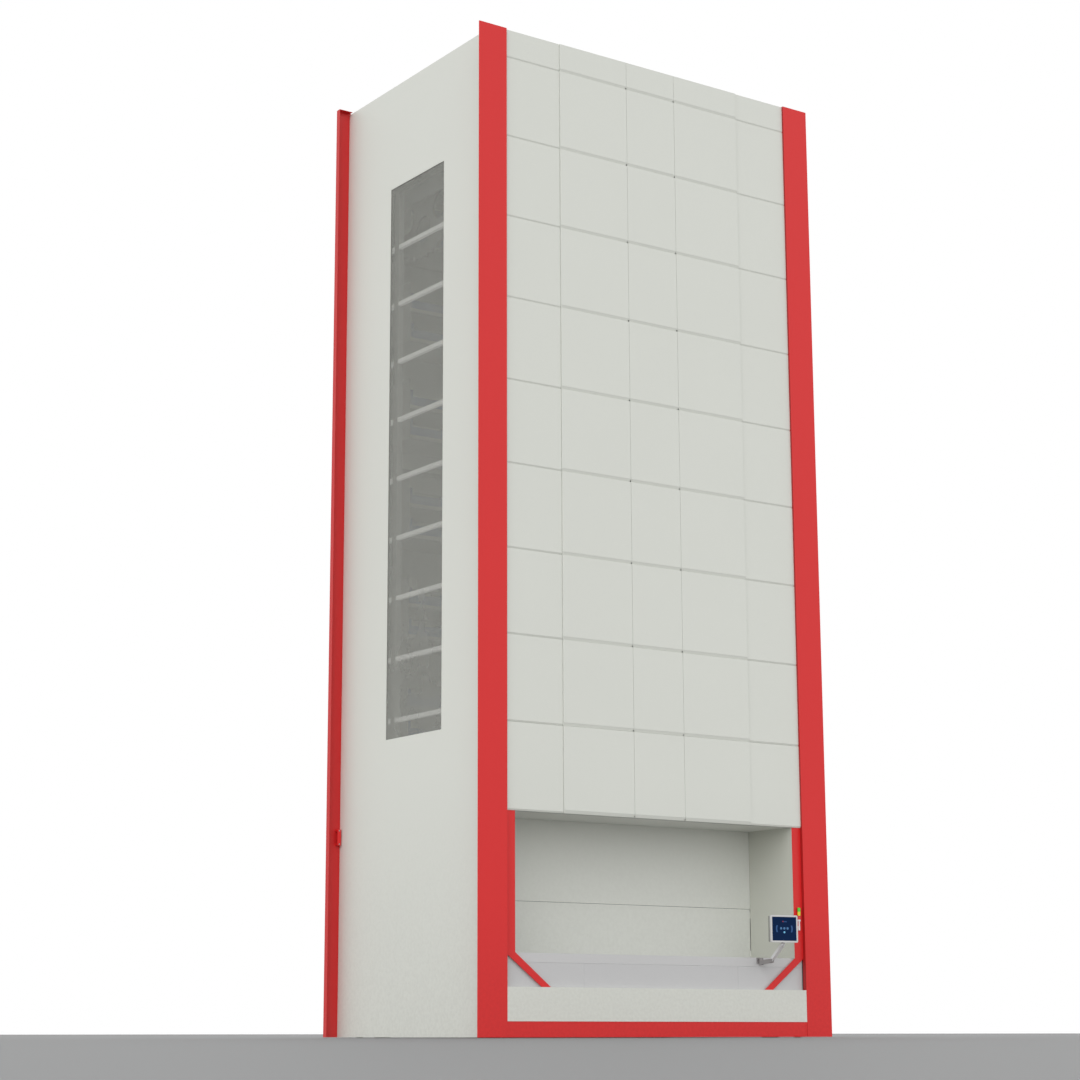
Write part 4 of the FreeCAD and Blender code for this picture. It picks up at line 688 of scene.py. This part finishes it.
# %% Build the screen
PANE_RIM = SCREEN_RIM + 0.0001
PANE_FRONT, PANE_BACK = 0.001, 0.0039
PICTURE_RIM, PICTURE_SUNK = 0.010, 0.0003
SIGN_RAISED, SIGN_THICK = 0.0003, 0.0008
RING_STEPS = (0.18, 0.14)
ARC_RADIUS, ARC_REACH, ARC_WIDE, ARC_THICK = 0.078, 0.071, 0.016, 0.0005
pane = add_block("pane", (head_left + PANE_RIM, bezel_face + PANE_FRONT, head_low + PANE_RIM),
                 (head_right - PANE_RIM, bezel_face + PANE_BACK, head_top - PANE_RIM))
sink(pane, "-Y", PICTURE_RIM, (0, PICTURE_SUNK, 0))
round_edges(pane, 0.0002)
screen = turn_head(join_all("screen_pane", [pane]))
dress(screen, "screen_glass", "hmi_head", "hmi_screen")
middle_z = (head_low + head_top) / 2
sign_y = bezel_face + SIGN_RAISED


def add_key(x, z, radius):
    """Round key: a flat button whose middle stands proud."""
    key = add_disc("key", radius, (tilt_pin.x + x, sign_y, middle_z + z), "Y", SIGN_THICK, 32)
    pick_side(key, "-Y")
    for share in RING_STEPS:
        bpy.ops.mesh.inset(thickness=radius * share)
    push(0, -0.0001, 0)
    finish_edit()
    return key


def add_arc(side):
    """Short piece of a ring beside the keys."""
    deselect()
    bpy.ops.mesh.primitive_circle_add(vertices=60, radius=ARC_RADIUS, fill_type="NOTHING",
                                      location=(tilt_pin.x, sign_y + 0.0006, middle_z),
                                      rotation=TURN_TO["Y"])
    arc = settle("arc")
    pick(arc, "VERT", lambda point: (point.co.x - tilt_pin.x) * side < ARC_REACH)
    bpy.ops.mesh.delete(type="VERT")
    bpy.ops.mesh.select_all(action="SELECT")
    push(side * ARC_WIDE, 0, 0)
    bpy.ops.object.mode_set(mode="OBJECT")
    modify(arc, "thick", "SOLIDIFY", thickness=ARC_THICK, offset=0)
    bpy.ops.object.mode_set(mode="EDIT")
    finish_edit()
    return arc


def add_bar(x, z, wide, tall):
    bar = add_block("bar", (tilt_pin.x + x - wide / 2, sign_y, middle_z + z - tall / 2),
                    (tilt_pin.x + x + wide / 2, sign_y + SIGN_THICK, middle_z + z + tall / 2))
    round_corners(bar, min(wide, tall) * 0.4, 1, 3)
    return bar


keys = [add_key(x, 0.004, 0.0115) for x in (-0.036, 0.0, 0.036)]
signs = {"screen_keys": (keys, "mark_blue"),
         "screen_start_key": ([add_key(0.0, -0.032, 0.0100)], "mark_bright"),
         "screen_arcs": ([add_arc(-1), add_arc(1)], "mark_faint"),
         "screen_status": ([add_bar(0.012, 0.066, 0.034, 0.008)], "mark_faint"),
         "screen_alert": ([add_bar(-0.014, 0.068, 0.012, 0.010)], "mark_red")}
for name, (shapes, finish) in signs.items():
    sign = turn_head(join_all(name, shapes))
    dress(sign, finish, "hmi_head")
print("signs:", sorted(signs))

# %% [markdown]
# ## Signal light
# Each colour is a separate ribbed lens on the same post. A short disc is grown upward
# in steps, each wider or narrower than the last, which gives the ribs, and the top
# lens closes in a low dome.

# %% Build the three lenses
LENSES = ("lens_red", "lens_yellow", "lens_green")
RIBS = 6
RIB_WAIST, DOME_FOOT, DOME_TOP = 0.955, 0.97, 0.70
lamp_low, lamp_high = size_of("signal_lamps")
lamp_radius = (lamp_high.x - lamp_low.x) / 2
lamp_middle = (lamp_low + lamp_high) / 2
lens_tall = (lamp_high.z - lamp_low.z) / len(LENSES)


def grow_top(rise, scale):
    """Extrude the selected top face upward and make it wider or narrower."""
    push(0, 0, rise)
    bpy.ops.transform.resize(value=(scale, scale, 1), center_override=(lamp_middle.x, lamp_middle.y, 0))


def add_lens(name, low, crowned):
    """Ribbed lens between low and low + lens_tall; a crowned one ends in a dome."""
    step = lens_tall / (2 * RIBS + 1)
    lens = add_disc(name, lamp_radius, (lamp_middle.x, lamp_middle.y, low), "Z", step, 32)
    pick_side(lens, "Z")
    for rib in range(RIBS):
        dome = crowned and rib == RIBS - 1
        grow_top(step * 0.5, RIB_WAIST)
        grow_top(step * 0.5, DOME_FOOT if dome else 1 / RIB_WAIST)
        grow_top(step, DOME_TOP / RIB_WAIST if dome else 1.0)
    finish_edit()
    make_active(lens)
    bpy.ops.object.shade_smooth_by_angle(angle=math.radians(35))
    return lens


for index, finish in enumerate(LENSES):
    lens = add_lens("signal_" + finish, lamp_low.z + index * lens_tall, index == len(LENSES) - 1)
    dress(lens, finish, "cabinet", "signal_lamps")
print("lens height", round(lens_tall, 4), "radius", round(lamp_radius, 4))

# %% [markdown]
# ## Roller chains
# A chain repeats one pair of links: outer plates, inner plates, a pin and a roller.
# Links are laid along the closed line round two wheels: a straight run, an arc, the
# other run and the other arc. One function gives the place at any length along that
# line, so the big lifting chains and the small drive chain share it.

# %% Find places along a chain


def step_from(point, distance, angle):
    """Point at a distance and an angle from another, in the plane of the wheels."""
    return Vector(point) + distance * Vector((math.cos(angle), math.sin(angle)))


def chain_line(first, first_radius, second, second_radius):
    """Length of the closed line round two wheels, and a function for the place along it."""
    across = Vector(second) - Vector(first)
    lean = math.asin((first_radius - second_radius) / across.length)
    bearing = math.atan2(across[1], across[0])
    straight = across.length * math.cos(lean)
    first_arc = (math.pi + 2 * lean) * first_radius
    second_arc = (math.pi - 2 * lean) * second_radius
    left = bearing + QUARTER - lean
    right = bearing - QUARTER + lean
    total = 2 * straight + first_arc + second_arc

    def place(length):
        length %= total
        if length < straight:
            return step_from(step_from(first, first_radius, left), length, left - QUARTER)
        length -= straight
        if length < second_arc:
            return step_from(second, second_radius, left - length / second_radius)
        length -= second_arc
        if length < straight:
            return step_from(step_from(second, second_radius, right), length, right - QUARTER)
        length -= straight
        return step_from(first, first_radius, right - length / first_radius)

    return total, place


# %% [markdown]
# ### One link
# A link plate is a flat strip with rounded ends: a thin block whose four corners are
# bevelled to most of the half height. A chain has hundreds of them, so each keeps
# only a few faces.

# %% Build the links
END_ROUND = 0.7
PIN_SHARE = 0.45


def add_plate(x0, x1, pitch, half_high):
    plate = add_block("plate", (x0, -half_high, -half_high), (x1, half_high, pitch + half_high))
    round_corners(plate, half_high * END_ROUND, 0, 2)
    return plate


def link_pair(middle, width, plate, pitch, half_high, roller, outer):
    """Inner or outer link that starts at the origin and runs upward."""
    half = width / 2
    shift = plate / 2 if outer else 0.0
    parts = [add_plate(middle - half - shift - plate / 2, middle - half - shift, pitch, half_high),
             add_plate(middle + half + shift, middle + half + shift + plate / 2, pitch, half_high)]
    reach = half + plate
    for z in (0.0, pitch):
        if outer:
            parts.append(add_disc("pin", roller * PIN_SHARE, (middle - reach, 0, z), "X", 2 * reach, 8))
        else:
            parts.append(add_disc("roller", roller, (middle - half, 0, z), "X", width, 10))
    return join_all("outer_link" if outer else "inner_link", parts)


def lay_chain(name, middle, width, plate, pitch, half_high, roller, line):
    """Chain round a line, its links turned to follow it."""
    total, place = line
    count = round(total / pitch / 2) * 2
    step = total / count
    parts = []
    for outer in (True, False):
        link = link_pair(middle, width, plate, step, half_high, roller, outer)
        turns = []
        for index in range(0 if outer else 1, count, 2):
            start = place(index * step)
            run = place((index + 1) * step) - start
            turn = Matrix.Rotation(-math.atan2(run[0], run[1]), 4, "X")
            turns.append(Matrix.Translation((0, start[0], start[1])) @ turn)
        parts.append(copies(link, name, turns))
    chain = join_all(name, parts)
    print(name, count, "links", len(chain.data.polygons), "faces")
    return chain


CHAIN_PITCH = 0.1016
CHAIN_PLATE = 0.006
CHAIN_WIDTH = 0.0246
CHAIN_HALF_HIGH = 0.021
CHAIN_ROLLER = 0.016
low_axle = Vector(joints["bottom_axle_turn"]["pos_m"])
top_axle = Vector(joints["top_axle_turn"]["pos_m"])
loop_radius = Vector(joints["top_crest_levelling"]["pos_m"]).z - top_axle.z
chain_x = size_of("carousel_chains")[1].x - CHAIN_PLATE - CHAIN_WIDTH / 2
lift_line = chain_line((low_axle.y, low_axle.z), loop_radius, (top_axle.y, top_axle.z), loop_radius)
for name, x in (("lift_chain_right", chain_x), ("lift_chain_left", -chain_x)):
    chain = lay_chain(name, x, CHAIN_WIDTH, CHAIN_PLATE, CHAIN_PITCH, CHAIN_HALF_HIGH, CHAIN_ROLLER,
                      lift_line)
    dress(chain, "chain_steel", "cabinet", "carousel_chains")

# %% Lay the drive chain
DRIVE_PITCH = 0.0254
DRIVE_PLATE = 0.003
DRIVE_HALF_HIGH = 0.0095
DRIVE_ROLLER = 0.0055
DRIVE_TEETH = 75
PINION_TEETH = 15
motor_axis = Vector(joints["pinion_turn"]["pos_m"])
big_radius, small_radius = (DRIVE_PITCH / (2 * math.sin(math.pi / teeth))
                            for teeth in (DRIVE_TEETH, PINION_TEETH))
drive_low, drive_high = size_of("drive_chain")
drive_line = chain_line((low_axle.y, low_axle.z), big_radius, (motor_axis.y, motor_axis.z), small_radius)
drive_chain = lay_chain("drive_chain_links", (drive_low.x + drive_high.x) / 2,
                        drive_high.x - drive_low.x - 2 * DRIVE_PLATE, DRIVE_PLATE, DRIVE_PITCH,
                        DRIVE_HALF_HIGH, DRIVE_ROLLER, drive_line)
dress(drive_chain, "chain_steel", "cabinet", "drive_chain")

# %% [markdown]
# ## Parts bins
# A bin is a moulded tray: a folded-over rim stiffens the mouth, the front wall drops
# so that a hand can reach in, and a label holder stands on it. It is one block whose
# top is inset and pushed down to the floor; a bar along each side makes the rim, and
# a cutter takes the low part out of the front. Over two hundred bins share this
# shape, so it has few faces.

# %% Build one bin and copy it
BINS_ACROSS = 6
BIN_GAP = 0.010
SHELF_RISE = 0.310
BIN_TALL = 0.200
WALL = 0.004
RIM, RIM_TALL = 0.0035, 0.012
MOUTH_DROP, MOUTH_INSET = 0.070, 0.040
HOLDER_HALF, HOLDER_LOW, HOLDER_HIGH, HOLDER_THICK = 0.060, 0.050, 0.100, 0.003
HOLDER_RIM, HOLDER_SUNK = 0.005, 0.002
SPARE = 0.01
carrier_low, carrier_high = size_of("presented_bins")
bin_pitch = (carrier_high.x - carrier_low.x + BIN_GAP) / BINS_ACROSS
bin_half = (bin_pitch - BIN_GAP) / 2
bin_deep = (carrier_high.y - carrier_low.y) / 2
bin_y = (carrier_high.y + carrier_low.y) / 2
deck = carrier_low.z


def add_bin():
    """Bin for the left end of the lower tray of the presented carrier."""
    x = carrier_low.x + bin_half
    front, back, top = bin_y - bin_deep, bin_y + bin_deep, deck + BIN_TALL
    tray = add_block("bin", (x - bin_half, front, deck), (x + bin_half, back, top))
    sink(tray, "Z", WALL, (0, 0, WALL - BIN_TALL))
    cutter = add_block("cutter", (x - bin_half + MOUTH_INSET, front - SPARE, top - MOUTH_DROP),
                       (x + bin_half - MOUTH_INSET, front + WALL * 1.5, top + SPARE))
    modify(tray, "mouth", "BOOLEAN", operation="DIFFERENCE", object=cutter)
    bpy.data.objects.remove(cutter)
    parts = [tray]
    for side in (-1, 1):
        inner, outer = x + side * bin_half, x + side * (bin_half + RIM)
        parts.append(add_block("rim", (min(inner, outer), front, top - RIM_TALL),
                               (max(inner, outer), back, top)))
    holder = add_block("label_holder", (x - HOLDER_HALF, front - HOLDER_THICK, deck + HOLDER_LOW),
                       (x + HOLDER_HALF, front, deck + HOLDER_HIGH))
    sink(holder, "-Y", HOLDER_RIM, (0, HOLDER_SUNK, 0))
    return join_all("bin", parts + [holder])


def fill_carriers(name, body, nodes, offsets):
    """Twelve bins for each carrier offset from the presented one."""
    places = []
    for offset in offsets:
        for level in (0, 1):
            for across in range(BINS_ACROSS):
                step = Vector((across * bin_pitch, 0, level * SHELF_RISE))
                places.append(Matrix.Translation(Vector(offset) + step))
    bins = copies(add_bin(), name, places)
    dress(bins, "bin_plastic", body, *nodes)
    print(name, len(places), "bins", len(bins.data.polygons), "faces")


carrier_pitch = joints["carousel_travel"]["range_m"][1]
pitches_up = round((top_axle.z - low_axle.z) / carrier_pitch)
fill_carriers("presented_parts_bins", "front_run", ["presented_bins"], [(0, 0, 0)])
front_steps = [(0, 0, k * carrier_pitch) for k in range(1, pitches_up)]
fill_carriers("front_parts_bins", "front_run", ["front_bins"], front_steps)
rear_low, rear_high = size_of("rear_bins")
rear_shift = rear_low.y - carrier_low.y
rear_base = rear_low.z - carrier_low.z
rear_count = round((rear_high.z - rear_low.z - (carrier_high.z - carrier_low.z)) / carrier_pitch) + 1
rear_steps = [(0, rear_shift, rear_base + k * carrier_pitch) for k in range(rear_count)]
fill_carriers("rear_parts_bins", "rear_run", ["rear_bins"], rear_steps)

# %% [markdown]
# ### Carriers on the wheels
# The four carriers on the wheels hold bins in the same CAD node. Their frame is kept
# as a merged copy without the bins, and new bins stand in their place, so all the
# carriers of the loop look alike. A bin is told from the frame's parts by the width
# and height of its connected island.

# %% Dress the carriers on the wheels
MERGE_BELOW = 0.00001
BIN_MATCH = 0.002


def frame_only(node, name):
    """Merged copy of a carrier node without its bins."""
    twin = twin_of(frame["nodes"][node])
    twin.parent = None
    make_active(twin)
    bpy.ops.object.mode_set(mode="EDIT")
    bpy.ops.mesh.select_all(action="SELECT")
    bpy.ops.mesh.remove_doubles(threshold=MERGE_BELOW)
    bpy.ops.mesh.separate(type="LOOSE")
    bpy.ops.object.mode_set(mode="OBJECT")
    kept = []
    for island in list(bpy.context.selected_objects):
        points = [vertex.co for vertex in island.data.vertices]
        wide, tall = (max(p[i] for p in points) - min(p[i] for p in points) for i in (0, 2))
        if abs(wide - 2 * bin_half) < BIN_MATCH and abs(tall - BIN_TALL) < BIN_MATCH:
            bpy.data.objects.remove(island)
        else:
            kept.append(island)
    return join_all(name, kept)


WHEEL_CARRIERS = ("top_front", "top_crest", "bottom_rear", "bottom_sump")
first_pin = Vector((0, top_axle.y - loop_radius, low_axle.z))
for wheel_place in WHEEL_CARRIERS:
    node, body = wheel_place + "_carrier", "carrier_" + wheel_place
    pin = Vector(joints[wheel_place + "_levelling"]["pos_m"])
    dress(frame_only(node, node + "_frame"), "carrier_paint", body, node)
    fill_carriers(node + "_bins", body, [node], [(0, pin.y - first_pin.y, pin.z - first_pin.z)])

# %% [markdown]
# ## Screws and bolts
# One low-poly cap screw serves for all: an eight-sided washer, a head on it and a
# sunken socket, made from a short disc by insets and extrusions. It is modelled once
# for each group, standing on the origin, and copied to its places with a quarter turn.
# The screws' sizes are radii of the washer.

# %% Add the fixings
FACE_REAR = Matrix.Rotation(-QUARTER, 4, "X")
FACE_FRONT = Matrix.Rotation(QUARTER, 4, "X")
FACE_RIGHT = Matrix.Rotation(QUARTER, 4, "Y")
FACE_LEFT = Matrix.Rotation(-QUARTER, 4, "Y")
FACE_UP = Matrix.Identity(4)
WASHER_RISE, HEAD_RISE, SOCKET_DEEP, SCREW_STEP = 0.2, 0.45, 0.3, 0.28


def add_screws(name, body, radius, turn, spots):
    """Cap screws whose heads stand on the given spots."""
    screw = add_disc(name, radius, (0, 0, 0), "Z", radius * WASHER_RISE, 8)
    pick_side(screw, "Z")
    for rise in (HEAD_RISE, -SOCKET_DEEP):
        bpy.ops.mesh.inset(thickness=radius * SCREW_STEP)
        push(0, 0, radius * rise)
    finish_edit()
    dress(copies(screw, name, [Matrix.Translation(spot) @ turn for spot in spots]), "zinc", body)


# %% Screw the rear panels on
PANEL_SEAMS = (-0.600, 0.580)
DOOR_SEAM = 0.760
DOOR_TOP = 2.000
PANEL_TALL = 1.850
LEAST_PANEL = 0.3
SIDE_INSET, END_INSET = 0.035, 0.06
SCREWS_UP = 4
rear_low, rear_high = size_of("rear_panels")
door_low, door_high = size_of("service_door")
upper_columns = [(rear_low.x, PANEL_SEAMS[0]), PANEL_SEAMS, (PANEL_SEAMS[1], rear_high.x)]
lower_columns = [(rear_low.x, door_low.x), (door_high.x, DOOR_SEAM), (DOOR_SEAM, rear_high.x)]
rows = [(rear_low.z, DOOR_TOP, lower_columns)]
while rows[-1][1] < rear_high.z - LEAST_PANEL:
    start = rows[-1][1]
    rows.append((start, min(start + PANEL_TALL, rear_high.z), upper_columns))
spots = []
for low, high, columns in rows:
    for left, right in columns:
        for x in (left + SIDE_INSET, right - SIDE_INSET):
            for k in range(SCREWS_UP):
                z = low + END_INSET + (high - low - 2 * END_INSET) * k / (SCREWS_UP - 1)
                spots.append((x, rear_high.y, z))
add_screws("rear_panel_screws", "cabinet", 0.009, FACE_REAR, spots)
print(len(spots), "rear panel screws")

# %% Screw the hinges, the bracket, the handle and the bearings on
HINGE_TOPS = (0.400, 1.700)
HINGE_HALF = 0.036
LEAF_THICK = 0.004
knuckle = HINGE_TOPS[0] - size_of("door_hinges")[0].z
hinge_line = joints["rear_door_swing"]["pos_m"][0]
leaf_face = rear_high.y + LEAF_THICK
for name, body, side in (("hinge_screws", "cabinet", -1), ("door_hinge_screws", "rear_door", 1)):
    spots = [(hinge_line + side * HINGE_HALF, leaf_face, z + side * knuckle * share)
             for z in HINGE_TOPS for share in (0.25, 0.75)]
    add_screws(name, body, 0.006, FACE_REAR, spots)

CLAMP_THICK = 0.008
CLAMP_HOLE, CLAMP_ROWS = 0.024, (0.014, 0.042)
clamp_low, clamp_high = size_of("hmi_bracket")
clamp_x = (clamp_low.x + clamp_high.x) / 2
spots = [(clamp_x + x, clamp_high.y - CLAMP_THICK, clamp_high.z - z)
         for x in (-CLAMP_HOLE, CLAMP_HOLE) for z in CLAMP_ROWS]
add_screws("bracket_screws", "cabinet", 0.0050, FACE_FRONT, spots)

PULL_INSET = 0.012
pull_low, pull_high = size_of("rear_post_handle")
pull_x = (pull_low.x + pull_high.x) / 2
spots = [(pull_x, pull_low.y, z) for z in (pull_low.z + PULL_INSET, pull_high.z - PULL_INSET)]
add_screws("pull_handle_screws", "cabinet", 0.007, FACE_FRONT, spots)

BEARING_PLATE = 0.012
BEARING_LONG = 0.040
BEARING_BOLT = 0.070
housing_face = size_of("shaft_bearings")[1].x - BEARING_PLATE - BEARING_LONG
shafts = [joints[name]["pos_m"] for name in ("top_axle_turn", "bottom_axle_turn")]
for name, side, turn in (("bearing_bolts_right", 1, FACE_LEFT), ("bearing_bolts_left", -1, FACE_RIGHT)):
    spots = [(side * housing_face, shafts[0][1] + y, shaft[2] + rise) for shaft in shafts
             for y in (-BEARING_BOLT, BEARING_BOLT) for rise in (-BEARING_BOLT, BEARING_BOLT)]
    add_screws(name, "cabinet", 0.014, turn, spots)

# %% [markdown]
# ## Gearmotor
# The drive is a helical gearbox with a finned motor. The drum gets one long thin fin
# that is copied round its axis, the fan cover a rounded rim and a grille of rings, and
# the gearbox a sunken cover plate with bolts. A terminal box sits on the drum. The
# output stub is bright steel, so it is its own piece.

# %% Build the gearmotor
MOTOR_LONG = 0.380
COVER_LONG, COVER_RADIUS = 0.080, 0.088
GRILLE_RINGS, GRILLE_STEP, GRILLE_DEEP = 3, 0.010, 0.005
COLLAR_RADIUS, COLLAR_LONG = 0.078, 0.016
DRUM_RADIUS = 0.070
FINS, FIN_RADIUS, FIN_HALF = 28, 0.085, 0.0014
BOX_ALONG, BOX_HALF, BOX_TALL, BOX_BACK = 0.6, 0.050, 0.036, 0.060
GEARBOX_WIDE, GEARBOX_HALF, GEARBOX_CORNER = 0.160, 0.080, 0.018
PLATE_RIM, PLATE_SUNK = 0.014, 0.004
FOOT_FRONT, FOOT_THICK = 0.090, 0.010
FOOT_BOLT_INSET, FOOT_BOLTS = 0.020, (-0.084, 0.090)
PLATE_BOLTS_Y, PLATE_BOLTS_Z = (-0.073, 0.073), (-0.060, 0.060)
STUB_RADIUS, STUB_ROOT = 0.024, 0.005
motor_low, motor_high = size_of("gearmotor")
axis_y = motor_low.y + FOOT_FRONT
axis_z = motor_high.z - COVER_RADIUS
gear_in = motor_low.x + MOTOR_LONG
gear_out = gear_in + GEARBOX_WIDE
foot_top = motor_low.z + FOOT_THICK
cover_end = motor_low.x + COVER_LONG
gearbox = add_block("gearbox", (gear_in, axis_y - GEARBOX_HALF, foot_top),
                    (gear_out, axis_y + GEARBOX_HALF, axis_z + GEARBOX_HALF))
round_corners(gearbox, GEARBOX_CORNER, 0, 4)
sink(gearbox, "X", PLATE_RIM, (-PLATE_SUNK, 0, 0))
round_edges(gearbox, 0.003)
collar = add_disc("collar", COLLAR_RADIUS, (gear_in - 0.014, axis_y, axis_z), "X", COLLAR_LONG, 32)
round_edges(collar, 0.002)
drum_start = cover_end - 0.010
drum = add_disc("drum", DRUM_RADIUS, (drum_start, axis_y, axis_z), "X", gear_in - drum_start - 0.006, 40)
round_edges(drum, 0.004)
cover = add_disc("cover", COVER_RADIUS, (motor_low.x, axis_y, axis_z), "X", COVER_LONG, 40)
round_edges(cover, 0.010, 4)
pick_side(cover, "-X", 0.98)
for ring in range(GRILLE_RINGS):
    bpy.ops.mesh.inset(thickness=GRILLE_STEP)
    push(-GRILLE_DEEP if ring % 2 else GRILLE_DEEP, 0, 0)
finish_edit()
fin = add_block("fin", (cover_end - 0.002, -FIN_HALF, DRUM_RADIUS - 0.004),
                (gear_in - 0.020, FIN_HALF, FIN_RADIUS))
middle = Matrix.Translation((0, axis_y, axis_z))
fins = copies(fin, "fins", [middle @ Matrix.Rotation(k * math.tau / FINS, 4, "X") for k in range(FINS)])
box_x = motor_low.x + MOTOR_LONG * BOX_ALONG
terminals = add_block("terminals", (box_x - BOX_HALF, axis_y - FOOT_FRONT, axis_z - BOX_TALL),
                      (box_x + BOX_HALF, axis_y - BOX_BACK, axis_z + BOX_TALL))
round_edges(terminals, 0.004, 3)
foot = add_block("foot", (cover_end, axis_y - FOOT_FRONT, motor_low.z), (gear_out, motor_high.y, foot_top))
round_edges(foot, 0.0015)
motor = join_all("drive_motor", [gearbox, collar, drum, cover, fins, terminals, foot])
dress(motor, "motor_paint", "cabinet", "gearmotor")
stub_start = gear_out - STUB_ROOT
stub = add_disc("motor_stub", STUB_RADIUS, (stub_start, axis_y, axis_z), "X",
                motor_high.x - stub_start, 32)
round_edges(stub, 0.0015)
dress(stub, "shaft_steel", "cabinet", "gearmotor")
spots = [(x, axis_y + y, foot_top) for x in (gear_in + FOOT_BOLT_INSET, gear_out - FOOT_BOLT_INSET)
         for y in FOOT_BOLTS]
add_screws("motor_foot_bolts", "cabinet", 0.009, FACE_UP, spots)
spots = [(gear_out, axis_y + y, axis_z + z) for y in PLATE_BOLTS_Y for z in PLATE_BOLTS_Z]
add_screws("gearbox_cover_bolts", "cabinet", 0.006, FACE_RIGHT, spots)
print("drive motor", len(motor.data.polygons), "faces")

# %% [markdown]
# ## Softened edges
# Cut and folded parts that are seen from close by get a small live bevel. It leaves
# their own corners where they are.

# %% Soften the edges of small parts
SOFT_EDGES = {"hmi_lower_arm": 0.0012, "hmi_upper_arm": 0.0012, "hmi_bracket": 0.0008,
              "door_handle": 0.0015, "rear_post_handle": 0.0015, "light_pole": 0.0008}
for name, width in SOFT_EDGES.items():
    add_modifier(frame["nodes"][name], "soft_edges", "BEVEL", width=width, segments=2,
                 limit_method="ANGLE", angle_limit=math.radians(50))
